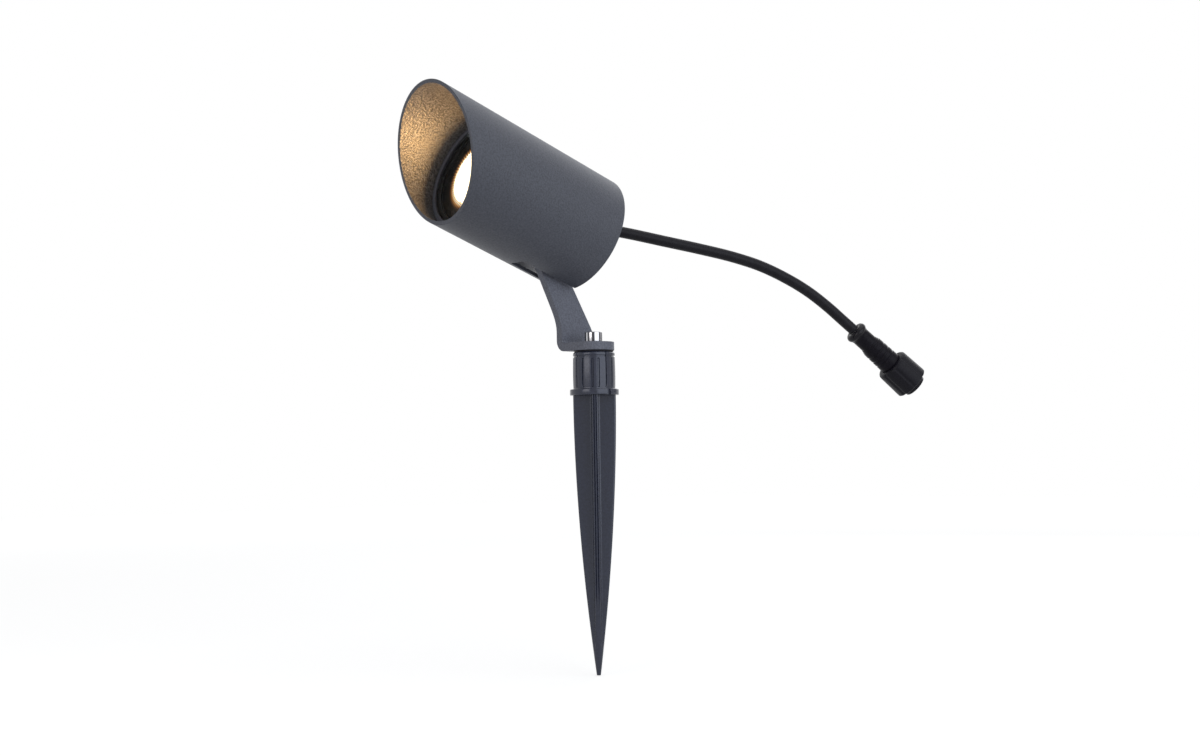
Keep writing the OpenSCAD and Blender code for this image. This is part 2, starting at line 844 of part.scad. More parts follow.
// Overmoulded back of the connector: bead, neck with small ribs, cone, barrel and flange
module plug_body() {
    rib_step = (barrel_start - neck_end) / (neck_ribs + 1);
    bead_half = bead_t / 2;
    color("#27272b")
        in_plug()
            rotate_extrude() polygon(concat(
                [[0, 0], [cable_r + slip, 0]],
                [for (a = [-80:20:80]) [bead_r + bead_half * (cos(a) - 1), bead_half * (1 + sin(a))]],
                [[neck_r, bead_t], [neck_r, neck_end]],
                [for (i = [1:neck_ribs])
                    let (r = neck_r + (barrel_mid_r - neck_r) * i / neck_ribs, z = neck_end + rib_step * i)
                    each [[r - neck_rib_h, z], [r, z]]],
                [
                    [barrel_mid_r, barrel_start], [barrel_r, nut_back - nut_slip],
                    [barrel_r, plug_flange_z], [plug_flange_r, plug_flange_z],
                    [plug_flange_r, seal_z], [0, seal_z]
                ]
            ));
}

module plug_seal() {
    color("#3a3a3f")
        in_plug() translate([0, 0, seal_z])
            tube_ring(plug_flange_r - slip, nose_r - seal_groove + play, seal_t);
}

// Nose of the connector with two contact holes and a key slot
module plug_insert() {
    color("#222226")
        in_plug()
            difference() {
                union() {
                    translate([0, 0, seal_z]) cylinder(r = nose_r - seal_groove, h = seal_t);
                    translate([0, 0, seal_z + seal_t]) cylinder(r = nose_r, h = plug_len - seal_z - seal_t);
                }
                for (x = [-contact_at, contact_at])
                    translate([x, 0, plug_len - contact_depth])
                        cylinder(r = contact_hole_r, h = contact_depth + cut);
                translate([-key_w / 2, nose_r - key_inset, plug_len - key_depth])
                    cube([key_w, key_depth, key_depth + cut]);
            }
}

module plug_contacts() {
    color("#c2a35a")
        in_plug()
            for (x = [-contact_at, contact_at])
                translate([x, 0, plug_len - contact_depth])
                    tube_ring(contact_hole_r - play, contact_hole_r / 2, contact_depth - key_depth);
}

// Coupling nut that turns on the barrel, with a rounded shoulder and grip flutes
module coupling_nut() {
    back_r = nut_r - nut_draft;
    color("#2b2b30")
        in_plug()
            difference() {
                rotate_extrude() polygon(concat(
                    [[barrel_r + play, nut_back]],
                    [for (a = [0:15:90])
                        [back_r - nut_round + nut_round * sin(a), nut_back + nut_round - nut_round * cos(a)]],
                    [
                        [nut_r, nut_front], [nut_bore_r, nut_front],
                        [nut_bore_r, nut_back + nut_lip], [barrel_r + play, nut_back + nut_lip]
                    ]
                ));
                for (i = [0:nut_flutes - 1])
                    rotate([0, 0, 360 * (i + 0.5) / nut_flutes])
                        translate([nut_r + nut_flute_r - nut_flute_depth, 0, nut_back - cut])
                            cylinder(r = nut_flute_r, h = nut_len + 2 * cut);
            }
}

ground_spike();
spike_insert();
clamp_bolt();
slip_washer();
bracket();
outer_tube();
tube_grub_screw();
lamp_body();
heat_plate();
plate_screws();
thermal_pad();
led_board();
led_chip();
board_screws();
lens();
lens_holder();
front_gasket();
front_glass();
bezel_ring();
driver_board();
driver_parts();
driver_screws();
lead_wires();
gland_washer();
gland_body();
gland_seal();
gland_nut();
cable_end();
pivot_screw();
pivot_nut();
pivot_washers();
cable();
plug_body();
plug_seal();
plug_insert();
plug_contacts();
coupling_nut();
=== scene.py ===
import bmesh
import bpy
import numpy as np
from mathutils import Matrix


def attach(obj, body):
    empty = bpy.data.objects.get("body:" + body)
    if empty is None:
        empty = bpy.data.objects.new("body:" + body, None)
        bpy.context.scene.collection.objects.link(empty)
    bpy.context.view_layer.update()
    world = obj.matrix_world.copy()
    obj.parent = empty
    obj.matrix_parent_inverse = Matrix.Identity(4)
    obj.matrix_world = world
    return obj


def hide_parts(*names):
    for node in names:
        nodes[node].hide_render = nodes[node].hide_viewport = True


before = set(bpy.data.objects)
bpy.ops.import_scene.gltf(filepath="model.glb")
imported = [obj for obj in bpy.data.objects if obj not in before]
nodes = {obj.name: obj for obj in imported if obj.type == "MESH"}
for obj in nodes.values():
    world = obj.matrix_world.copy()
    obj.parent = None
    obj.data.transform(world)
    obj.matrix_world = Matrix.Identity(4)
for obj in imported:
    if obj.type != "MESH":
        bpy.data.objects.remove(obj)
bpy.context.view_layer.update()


# Camera. The photograph is a studio shot from the front right and a little below the lamp's
# middle, with a 50 mm lens on a full frame; the object stands 0.82 m away.
VIEW_SIDE, VIEW_RISE, VIEW_ROLL = np.radians([49.80, -2.91, -0.92])
VIEW_AWAY = 0.81686
VIEW_AIM = np.array([0.00218, 0.00186, 0.00835])
LENS_MM = 50.418
SENSOR_MM = 36.0


def unit(v):
    """Vectors along the last axis, each divided by its own length."""
    return v / np.linalg.norm(v, axis=-1, keepdims=True)


back = np.array([
    np.sin(VIEW_SIDE) * np.cos(VIEW_RISE),
    -np.cos(VIEW_SIDE) * np.cos(VIEW_RISE),
    np.sin(VIEW_RISE),
])
level = unit(np.cross(-back, [0, 0, 1]))
raised = np.cross(back, level)
right = np.cos(VIEW_ROLL) * level + np.sin(VIEW_ROLL) * raised
up = np.cos(VIEW_ROLL) * raised - np.sin(VIEW_ROLL) * level
camera = bpy.data.objects.new("camera", bpy.data.cameras.new("camera"))
camera.data.lens = LENS_MM
camera.data.sensor_width = SENSOR_MM
camera.data.clip_start = 0.01
turn = Matrix(np.column_stack([right, up, back]).tolist()).to_4x4()
camera.matrix_world = Matrix.Translation((VIEW_AIM + back * VIEW_AWAY).tolist()) @ turn
bpy.context.collection.objects.link(camera)
bpy.context.scene.camera = camera


# Cable. Round rubber-sheathed lead, extruded, 5.6 mm thick and stiff enough to hold its bow in the
# air. It leaves the gland nut at the back of the lamp and ends in the overmoulded connector.
CABLE_D = 0.0056
CABLE_ROUTE = np.array([
    [-14.2, -11.4, 91.1], [-14.2, -7, 89.5], [-13.6, -1, 87.6], [-11.8, 5.5, 85.8],
    [-9.2, 12, 84.3], [-5.8, 20, 82.6], [-2.2, 28, 81.1], [4.4, 43.5, 78],
    [11.8, 61.5, 74.5], [19.3, 79.5, 70.4], [24.4, 91.5, 66.6], [29.5, 103.5, 61.1],
    [34.6, 116, 53.8], [38.9, 126, 46], [42.1, 133.8, 39.1], [44.5, 139.5, 34],
]) / 1000


def smooth_path(points, steps):
    """Curve through every point: cubic spans over the chord length, where the slope at a point is the
    mean of its two chords, each weighted by the length of the other."""
    chord = np.linalg.norm(np.diff(points, axis=0), axis=1)[:, None]
    run = np.diff(points, axis=0) / chord
    slope = (run[:-1] * chord[1:] + run[1:] * chord[:-1]) / (chord[:-1] + chord[1:])
    slope = np.vstack([run[:1], slope, run[-1:]])
    t = (np.arange(steps) / steps)[None, :, None]
    a, b, chord = points[:-1, None], points[1:, None], chord[:, None]
    spans = (
        (2 * t**3 - 3 * t**2 + 1) * a + (t**3 - 2 * t**2 + t) * slope[:-1, None] * chord
        + (3 * t**2 - 2 * t**3) * b + (t**3 - t**2) * slope[1:, None] * chord
    )
    return np.vstack([spans.reshape(-1, 3), points[-1:]])


def swept(path, rings):
    """Grid of points: row i is ring i, given as (across, upward) pairs, set square to the path at its
    point i; across is level and upward lies in the path's upright plane."""
    ahead = unit(np.gradient(path, axis=0))
    across = unit(np.cross([0, 0, 1], ahead))
    upward = np.cross(ahead, across)
    return path[:, None] + rings[..., :1] * across[:, None] + rings[..., 1:] * upward[:, None]


def piece(name, grids, caps=False, sharp=35):
    """Mesh object from grids of points, rows by columns, whose last column joins the first: each cell
    is a face, equal points merge, and caps closes the first and last rows. Bends over the sharp angle
    stay crisp."""
    points, faces, done = [], [], 0
    for grid in grids:
        rows, columns = grid.shape[:2]
        i, j = np.meshgrid(np.arange(rows - 1), np.arange(columns), indexing="ij")
        beside = (j + 1) % columns
        cell = [i * columns + j, i * columns + beside,
                (i + 1) * columns + beside, (i + 1) * columns + j]
        faces += (np.stack(cell, -1).reshape(-1, 4) + done).tolist()
        if caps:
            ring = np.arange(columns) + done
            faces += [ring[::-1].tolist(), (ring + (rows - 1) * columns).tolist()]
        points.append(grid.reshape(-1, 3))
        done += rows * columns
    return closed_mesh(name, np.vstack(points), faces, sharp)


def closed_mesh(name, points, faces, sharp):
    """Object from points and faces: equal points merge, faces turn outwards, and shading is smooth
    but for edges over the sharp angle, in degrees."""
    mesh = bpy.data.meshes.new(name)
    mesh.from_pydata(points.tolist(), [], faces)
    work = bmesh.new()
    work.from_mesh(mesh)
    bmesh.ops.remove_doubles(work, verts=work.verts, dist=2e-6)
    bmesh.ops.recalc_face_normals(work, faces=work.faces)
    work.to_mesh(mesh)
    work.free()
    mesh.shade_smooth()
    mesh.set_sharp_from_angle(angle=np.radians(sharp))
    obj = bpy.data.objects.new(name, mesh)
    bpy.context.collection.objects.link(obj)
    return obj


def linear(code):
    """sRGB hex colour as the linear colour that a shader takes."""
    value = np.array([int(code[i:i + 2], 16) for i in (1, 3, 5)]) / 255
    value = np.where(value <= 0.04045, value / 12.92, ((value + 0.055) / 1.055) ** 2.4)
    return (*value, 1.0)


def node(tree, kind, feeds=None, **settings):
    """Adds a shader node: settings are its own properties, and feeds gives each input either a value
    or the socket that it is linked from."""
    made = tree.nodes.new("ShaderNode" + kind)
    for key, value in settings.items():
        setattr(made, key, value)
    for key, value in (feeds or {}).items():
        if isinstance(value, bpy.types.NodeSocket):
            tree.links.new(value, made.inputs[key])
        else:
            made.inputs[key].default_value = value
    return made


def material(name, **values):
    """New material and its Principled shader, whose sockets take the values given: an underscore
    stands for a space, and a text is a hex colour."""
    made = bpy.data.materials.new(name)
    made.use_nodes = True
    shader = made.node_tree.nodes["Principled BSDF"]
    for key, value in values.items():
        socket = shader.inputs[key.replace("_", " ").title().replace("Ior", "IOR")]
        socket.default_value = linear(value) if isinstance(value, str) else value
    return made, shader


def relief(made, shader, height, depth_mm):
    """Feeds a height pattern, 0 to 1, to the shader's normal as a relief of that depth."""
    bump = node(made.node_tree, "Bump", {"Height": height, "Distance": depth_mm / 1000, "Strength": 1.0})
    made.node_tree.links.new(bump.outputs["Normal"], shader.inputs["Normal"])


def mottle(made, shader, dark, light, spots):
    """Feeds the base colour from dark to light by a noise pattern, over the middle third of its
    values, where most of them lie."""
    ramp = node(made.node_tree, "ValToRGB", {"Fac": spots})
    ramp.color_ramp.elements[0].position, ramp.color_ramp.elements[0].color = 0.35, linear(dark)
    ramp.color_ramp.elements[1].position, ramp.color_ramp.elements[1].color = 0.65, linear(light)
    made.node_tree.links.new(ramp.outputs["Color"], shader.inputs["Base Color"])


def object_noise(made, grain_mm, detail=2.0, stretch=(1, 1, 1)):
    """Noise in the object's own coordinates whose grains are about grain_mm across."""
    tree = made.node_tree
    place = node(tree, "TexCoord").outputs["Object"]
    sized = node(tree, "Mapping", {"Vector": place, "Scale": stretch}).outputs["Vector"]
    made_noise = node(tree, "TexNoise", {"Vector": sized, "Scale": 1000 / grain_mm, "Detail": detail})
    return made_noise.outputs["Fac"]


# Extruded rubber: dull black-brown with a soft sheen and faint drag lines.
cable_rubber, shader = material("extruded_rubber", roughness=0.36, specular_ior_level=0.11)
grain = object_noise(cable_rubber, 1.6)
mottle(cable_rubber, shader, "#17161b", "#1f1e24", grain)
relief(cable_rubber, shader, object_noise(cable_rubber, 0.8), 0.004)

path = smooth_path(CABLE_ROUTE, 6)
turn = np.linspace(0, 2 * np.pi, 32, endpoint=False)
ring = np.stack([np.cos(turn), np.sin(turn)], -1) * CABLE_D / 2
cable = piece("cable_sheath", [swept(path, np.broadcast_to(ring, (len(path), *ring.shape)))], caps=True)
cable.data.materials.append(cable_rubber)
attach(cable, "head")
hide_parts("cable")


# Connector body. Black nylon overmoulded on the cable's end: a bead, a thin neck with three ribs, and
# a barrel with a flange that keeps the coupling nut on.
PLUG_AXIS = np.array([0.295621, 0.706705, -0.642788])
PLUG_AT = CABLE_ROUTE[-1]
MM = 0.001


def eased(corners, ease, steps=5):
    """Open line whose inner corners are rounded: each gives way to a parabola that starts and ends an
    ease away from it, or half-way along a shorter side."""
    p = np.asarray(corners, float)
    before, after = p[:-2] - p[1:-1], p[2:] - p[1:-1]
    length_before = np.linalg.norm(before, axis=1, keepdims=True)
    length_after = np.linalg.norm(after, axis=1, keepdims=True)
    ease = np.broadcast_to(ease, len(p) - 2)[:, None]
    a = p[1:-1] + before / length_before * np.minimum(ease, length_before / 2)
    b = p[1:-1] + after / length_after * np.minimum(ease, length_after / 2)
    t = np.linspace(0, 1, steps)[:, None]
    arcs = (1 - t)**2 * a[:, None] + 2 * t * (1 - t) * p[1:-1, None] + t**2 * b[:, None]
    return np.vstack([p[:1], arcs.reshape(-1, 2), p[-1:]])


def turned(profile, at, axis, turns, ripple=None, top=(0, 0, 1)):
    """Grid of points: a profile of (station, radius) in mm turned about an axis. Each point is at +
    axis * station + radius * (cosine of the turn across, sine of it upward), and ripple gives the
    radius at every station and turn, in mm, where it isn't round."""
    axis = unit(np.asarray(axis, float))
    across = unit(np.cross(top, axis))
    upward = np.cross(axis, across)
    station, radius = np.asarray(profile, float).T[:, :, None]
    radius = radius + np.zeros_like(turns) if ripple is None else ripple(station, radius, turns)
    spoke = np.cos(turns)[:, None] * across + np.sin(turns)[:, None] * upward
    return at + MM * (station[..., None] * axis + radius[..., None] * spoke)


def circle(count):
    """Turns of a full circle, in radians."""
    return np.linspace(0, 2 * np.pi, count, endpoint=False)


# Moulded black nylon: dark grey-black, satin, with the fine grain of an eroded mould.
black_nylon, shader = material("moulded_black_nylon", roughness=0.4, specular_ior_level=0.12)
grain = object_noise(black_nylon, 0.9)
mottle(black_nylon, shader, "#0f0e15", "#17161e", grain)
relief(black_nylon, shader, grain, 0.012)

# Soft moulding of the cable's end: satin black; its bead is polished and catches a glint.
overmould, shader = material("black_overmould", roughness=0.3, specular_ior_level=0.07)
grain = object_noise(overmould, 1.4)
mottle(overmould, shader, "#0f0d14", "#16141c", grain)
relief(overmould, shader, grain, 0.02)
bead_gloss, shader = material("polished_overmould", roughness=0.2, specular_ior_level=0.16)
mottle(bead_gloss, shader, "#0f0d14", "#16141c", object_noise(bead_gloss, 1.4))

BEAD_R, BEAD_HALF, NECK_R, NECK_END = 5.9, 2.0, 4.9, 10.2
BARREL_FROM, BARREL_R, BARREL_GROWS = 14.4, 5.8, 0.3
GRIP_RINGS, GRIP_DEPTH = np.array([16.6, 19.6, 22.6]), 0.28
NUT_BACK, NUT_FRONT = 27.1, 42.5
FLANGE_BACK, FLANGE_FRONT, PLUG_FLANGE_R = 29.1, 31.1, 7.5

bend = np.radians(np.linspace(-125, 48, 14))
bead = np.stack([BEAD_HALF * (1 + np.sin(bend)), BEAD_R + BEAD_HALF * (np.cos(bend) - 1)], -1)
steps = np.arange(1, 4)[:, None]
rib_at = NECK_END + (BARREL_FROM - NECK_END) / 4 * steps
rib_r = NECK_R + (BARREL_R - NECK_R) / 3 * steps
ribs = np.stack([np.hstack([rib_at - 0.1, rib_at + 0.1, rib_at + 0.7]),
                 np.hstack([rib_r - 0.3, rib_r, rib_r - 0.05])], -1).reshape(-1, 2)
rings = GRIP_RINGS[:, None] + np.array([[-0.6, -0.35, 0.35, 0.6]])
ring_r = BARREL_R + BARREL_GROWS * (rings - BARREL_FROM) / 12 - GRIP_DEPTH * np.array([[0, 1, 1, 0]])
barrel = np.stack([rings, ring_r], -1).reshape(-1, 2)
neck_on = np.vstack([
    [bead[-1], (4.7, NECK_R), (NECK_END, NECK_R)], ribs,
    [(BARREL_FROM, BARREL_R)], barrel, [(NUT_BACK, BARREL_R + BARREL_GROWS)],
])
profile = np.vstack([
    [(bead[0, 0], 0)], bead[:-1], eased(neck_on, 0.12, 4),
    [(FLANGE_BACK, 6.1), (FLANGE_BACK, PLUG_FLANGE_R), (FLANGE_FRONT, PLUG_FLANGE_R), (FLANGE_FRONT, 0)],
])
plug = piece("connector_overmould", [turned(profile, PLUG_AT, PLUG_AXIS, circle(96))])
plug.data.materials.append(overmould)
plug.data.materials.append(bead_gloss)
for face in plug.data.polygons:
    face.material_index = int((np.array(face.center) - PLUG_AT) @ PLUG_AXIS < 2 * BEAD_HALF * MM)
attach(plug, "head")
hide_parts("plug_body")


# Coupling nut. Black nylon moulding with eight shallow grip flutes and a round shoulder; it snaps over
# the flange of the connector body and turns on it.
NUT_FLUTES, NUT_FLUTE_DEPTH, NUT_FLUTE_R = 8, 0.3, 1.6
NUT_R, NUT_BACK_R, NUT_ROUND, NUT_BORE_R = 9.4, 9.05, 1.8, 7.7
NUT_LIP, NUT_LIP_R, NUT_EDGE = 1.8, 6.2, 0.25
bend = np.radians(np.linspace(0, 90, 8))
shoulder = np.stack([NUT_BACK + NUT_ROUND * (1 - np.cos(bend)),
                     NUT_BACK_R - NUT_ROUND * (1 - np.sin(bend))], -1)
NUT_REST = [(NUT_FRONT - NUT_EDGE, NUT_R), (NUT_FRONT, NUT_R - NUT_EDGE), (NUT_FRONT, NUT_BORE_R + 0.3),
            (NUT_FRONT - 0.3, NUT_BORE_R), (NUT_BACK + NUT_LIP, NUT_BORE_R), (NUT_BACK + NUT_LIP, NUT_LIP_R)]


def fluted(station, radius, turns):
    """Radius less a shallow round flute in each eighth of the outside: a circle of radius 1.6 mm that
    dips 0.3 mm into it."""
    pitch = 2 * np.pi / NUT_FLUTES
    off = (turns % pitch - pitch / 2) * radius
    depth = np.clip(NUT_FLUTE_DEPTH - off**2 / (2 * NUT_FLUTE_R), 0, None)
    return radius - depth * (radius > NUT_BORE_R + 0.5)


profile = np.vstack([[(NUT_BACK, NUT_LIP_R)], shoulder, NUT_REST, [(NUT_BACK, NUT_LIP_R)]])
nut = piece("connector_nut", [turned(profile, PLUG_AT, PLUG_AXIS, circle(192), fluted)])
nut.data.materials.append(black_nylon)
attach(nut, "coupling_nut")
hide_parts("coupling_nut")


# Outer tube. Aluminium tube of 60 mm with a 1.7 mm wall, cut slantwise at the mouth and slotted for
# the arm at the back, then powder-coated in fine-textured dark grey, inside too.
LAMP_BACK = np.array([-14.2, 6.1158, 80.6514]) * MM
LAMP_AXIS = np.array([0, -0.94176, 0.33627])
LAMP_UP = np.array([0, 0.33627, 0.94176])
LAMP_ACROSS = np.array([1.0, 0, 0])
TUBE_R, TUBE_IN_R = 30.0, 28.3
SLOT_HALF, SLOT_LEN, SLOT_CORNER = 5.0, 34.0, 2.0
MOUTH_AT, MOUTH_SLANT = 94.3, 0.52333
ROUND_COLUMNS = 161
LIT_FROM = 55.0


def in_lamp(x, y, s):
    """Points from mm across the lamp, upward and along it: the middle of its back end plus each
    length times its axis."""
    x, y, s = (values[..., None] for values in np.broadcast_arrays(x, y, s))
    return LAMP_BACK + MM * (x * LAMP_ACROSS + y * LAMP_UP + s * LAMP_AXIS)


def shell(name, outer, inner, kept, joined):
    """Wall between two skins on one grid: a face on each skin for every kept cell, and a side wherever
    a kept cell borders a dropped one or the grid's end. joined says that the last column meets the
    first."""
    rows, columns = outer.shape[:2]
    i, j = np.meshgrid(np.arange(rows - 1), np.arange(kept.shape[1]), indexing="ij")
    beside = (j + 1) % columns
    a, b = i * columns + j, i * columns + beside
    c, d = (i + 1) * columns + beside, (i + 1) * columns + j
    far = rows * columns
    none_row, none_column = np.zeros_like(kept[:1]), np.zeros_like(kept[:, :1])
    above = np.vstack([none_row, kept[:-1]])
    below = np.vstack([kept[1:], none_row])
    left = np.roll(kept, 1, 1) if joined else np.hstack([none_column, kept[:, :-1]])
    beyond = np.roll(kept, -1, 1) if joined else np.hstack([kept[:, 1:], none_column])
    faces = [np.stack([a, b, c, d], -1)[kept], np.stack([d, c, b, a], -1)[kept] + far]
    for p, q, neighbour in ((a, b, above), (b, c, beyond), (c, d, below), (d, a, left)):
        faces.append(np.stack([q, p, p + far, q + far], -1)[kept & ~neighbour])
    faces = np.vstack(faces)
    used, faces = np.unique(faces, return_inverse=True)
    points = np.vstack([outer.reshape(-1, 3), inner.reshape(-1, 3)])[used]
    return closed_mesh(name, points, faces.reshape(-1, 4).tolist(), sharp=35)


def soften(obj, width_mm, segments=3):
    """Rounds the edges of a piece over 30 degrees, as coating and deburring leave them."""
    bevel = obj.modifiers.new("rounded_edges", "BEVEL")
    bevel.width = width_mm * MM
    bevel.segments = segments
    bevel.limit_method = "ANGLE"
    bevel.angle_limit = np.radians(30)
    bevel.harden_normals = True


# Fine-textured powder coat: matte grey with a blue tinge, a pebbled film whose grains catch the light.
def powder_coated(name, dark, light):
    """Textured coat whose colour wanders a little over its pebbles. Real pebbles are 0.3 mm across;
    these are 0.8 mm, so that they show."""
    made, shader = material(name, roughness=0.5, specular_ior_level=0.35)
    grain = object_noise(made, 0.8, detail=3)
    mottle(made, shader, dark, light, grain)
    relief(made, shader, grain, 0.14)
    return made


powder_coat = powder_coated("textured_powder_coat", "#42444d", "#4f525c")

# The same coat inside the tube, where the lamp's light grazes it: each pebble has a bright and a dark
# side, so it sparkles. This lit copy's colour runs darker and lighter with the pebbles, a painted sparkle.
lit_coat, shader = material("powder_coat_painted_sparkle", roughness=0.4, specular_ior_level=0.6)
grain = object_noise(lit_coat, 1.0, detail=4)
mottle(lit_coat, shader, "#2c2c2f", "#636264", grain)
relief(lit_coat, shader, grain, 0.34)


def tube_skin(radius):
    """Skin of the tube on one grid. The columns run round from the slot's one edge to the other and on
    across the slot; the rows run from the back to the mouth plane, where the length is 94.3 mm plus
    0.523 of the height above the axis."""
    end_steps = np.linspace(0, np.pi / 2, 6)
    side_rows = np.linspace(0, SLOT_LEN - SLOT_CORNER, 12)[:-1]
    slot_rows = np.hstack([side_rows, SLOT_LEN - SLOT_CORNER + SLOT_CORNER * np.sin(end_steps)])
    half = np.hstack([np.full(len(side_rows), SLOT_HALF),
                      SLOT_HALF - SLOT_CORNER + SLOT_CORNER * np.cos(end_steps)])
    rest = np.linspace(0, 1, 25)[1:, None]
    half = np.hstack([half, np.full(len(rest), half[-1])])
    edge = np.arcsin(half / radius)[:, None]
    round_share = np.linspace(0, 1, ROUND_COLUMNS)[None]
    across_share = np.linspace(0, 1, 9)[None, 1:-1]
    turns = np.hstack([edge + round_share * (2 * np.pi - 2 * edge), -edge + across_share * 2 * edge])
    x, y = radius * np.sin(turns), -radius * np.cos(turns)
    s = np.broadcast_to(slot_rows[:, None], (len(slot_rows), turns.shape[1]))
    mouth = MOUTH_AT + MOUTH_SLANT * y[len(slot_rows):]
    s = np.vstack([s, SLOT_LEN + rest * (mouth - SLOT_LEN)])
    return in_lamp(x, y, s), len(slot_rows)


outer, slot_rows = tube_skin(TUBE_R)
inner = tube_skin(TUBE_IN_R)[0]
kept = np.ones((outer.shape[0] - 1, outer.shape[1]), bool)
kept[:slot_rows - 1, ROUND_COLUMNS - 1:] = False
tube = shell("tube_wall", outer, inner, kept, joined=True)
soften(tube, 0.18)
tube.data.materials.append(powder_coat)
tube.data.materials.append(lit_coat)
# Inner faces from 55 mm to the mouth, where the lamp's light grazes, take the lit copy with its painted
# sparkle.
for face in tube.data.polygons:
    spoke = np.array(face.center) - LAMP_BACK
    station = spoke @ LAMP_AXIS
    spoke -= LAMP_AXIS * station
    face.material_index = int(np.linalg.norm(spoke) < (TUBE_IN_R + 0.1) * MM and station > LIT_FROM * MM)
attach(tube, "head")
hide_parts("outer_tube")


# Bezel ring. Turned aluminium ring screwed onto the lamp body over the glass, powder-coated like the
# tube; only its thin front lip shows round the glass.
BEZEL_BACK, BEZEL_LIP, BEZEL_FRONT = 63.0, 72.0, 73.0
BEZEL_R, BEZEL_SKIRT_R, BEZEL_LIP_R = 28.2, 27.25, 26.0
BEZEL = [(BEZEL_LIP, 27.0), (BEZEL_LIP, BEZEL_LIP_R), (BEZEL_FRONT, BEZEL_LIP_R), (BEZEL_FRONT, BEZEL_R),
         (BEZEL_BACK, BEZEL_R), (BEZEL_BACK, BEZEL_SKIRT_R), (BEZEL_LIP, BEZEL_SKIRT_R),
         (BEZEL_LIP, 27.0)]
bezel = piece("front_bezel", [turned(eased(BEZEL, 0.25), LAMP_BACK, LAMP_AXIS, circle(160), top=LAMP_UP)])
bezel.data.materials.append(powder_coat)
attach(bezel, "head")
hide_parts("bezel_ring")


# Lens. Clear acrylic collimator, moulded, with a toothed rim; lit by the LED behind it, its face is
# white and its rim glows amber.
LENS_BACK, LENS_FRONT = 62.1, 69.6
LENS_R, LENS_BASE_R = 15.19, 5.62
LENS_TEETH, TOOTH = 72, 0.6
RIM_FRAY = 3.0
LENS = [(LENS_BACK, 0), (LENS_BACK, LENS_BASE_R), (66.4, 12.2), (LENS_FRONT - 1.4, LENS_R),
        (LENS_FRONT, LENS_R), (LENS_FRONT, 13.8), (LENS_FRONT, 0)]


def toothed(station, radius, turns):
    """Radius of the lens with round teeth, 0.6 mm deep, round its rim."""
    return radius - TOOTH * (radius > 14) * (0.5 + 0.5 * np.cos(LENS_TEETH * turns))


# Clear acrylic with the lamp lit: the face is too bright to have a colour, and its last half millimetre
# fades from cream through amber to brown, with a frayed edge.
lit_acrylic, shader = material("lit_acrylic", base_color="#f6efe2", roughness=0.15, emission_strength=2.2)
tree = lit_acrylic.node_tree
place = node(tree, "TexCoord").outputs["Object"]
middle = (LAMP_BACK + LAMP_AXIS * LENS_FRONT * MM).tolist()
reach = node(tree, "VectorMath", {0: place, 1: middle}, operation="DISTANCE").outputs["Value"]
frayed = node(tree, "Math", {0: object_noise(lit_acrylic, 1.2), 1: RIM_FRAY * MM, 2: reach},
              operation="MULTIPLY_ADD").outputs[0]
share = node(tree, "Math", {0: frayed, 1: 1 / ((LENS_R + RIM_FRAY / 2) * MM)}, operation="MULTIPLY")
rim = node(tree, "ValToRGB", {"Fac": share.outputs[0]})
rim.color_ramp.elements[0].position, rim.color_ramp.elements[0].color = 0.965, linear("#ffe1bc")
rim.color_ramp.elements[1].position, rim.color_ramp.elements[1].color = 1.0, linear("#7a3f1c")
for position, colour in ((0.978, "#d9a25c"), (0.99, "#a8632d")):
    rim.color_ramp.elements.new(position).color = linear(colour)
tree.links.new(rim.outputs["Color"], shader.inputs["Emission Color"])
lens_grid = turned(LENS, LAMP_BACK, LAMP_AXIS, circle(8 * LENS_TEETH), toothed, top=LAMP_UP)
lens = piece("collimator_lens", [lens_grid])
lens.data.materials.append(lit_acrylic)
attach(lens, "head")
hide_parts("lens")


# Lens holder. A sleeve and a flat rim round the lens, moulded in matte black nylon in one piece and
# clipped over it; the rim fills the recess up to the bezel.
HOLDER_LOW, HOLDER_FRONT, HOLDER_RIM = 60.0, 69.2, 68.0
HOLDER_R, SLEEVE_R, SLEEVE_IN_R, HOLDER_LIP_R = 23.9, 16.99, 15.59, 15.29
HOLDER = [(HOLDER_LOW, SLEEVE_IN_R), (HOLDER_LOW, SLEEVE_R), (HOLDER_RIM, SLEEVE_R), (HOLDER_RIM, HOLDER_R),
          (HOLDER_FRONT, HOLDER_R), (HOLDER_FRONT, HOLDER_LIP_R), (HOLDER_RIM, HOLDER_LIP_R),
          (HOLDER_RIM, SLEEVE_IN_R), (HOLDER_LOW, SLEEVE_IN_R)]
DASH_FROM, DASH_TO = 15.9, 18.9

# Dead black, so that the recess swallows light. The amber dashes that the teeth of the lens throw on it are
# painted light, a glow in its own emission.
dead_black, shader = material("matte_black_nylon_painted_dashes", roughness=0.6, specular_ior_level=0.1)
tree = dead_black.node_tree
grain = object_noise(dead_black, 0.9)
mottle(dead_black, shader, "#060609", "#0c0c11", grain)
relief(dead_black, shader, grain, 0.02)
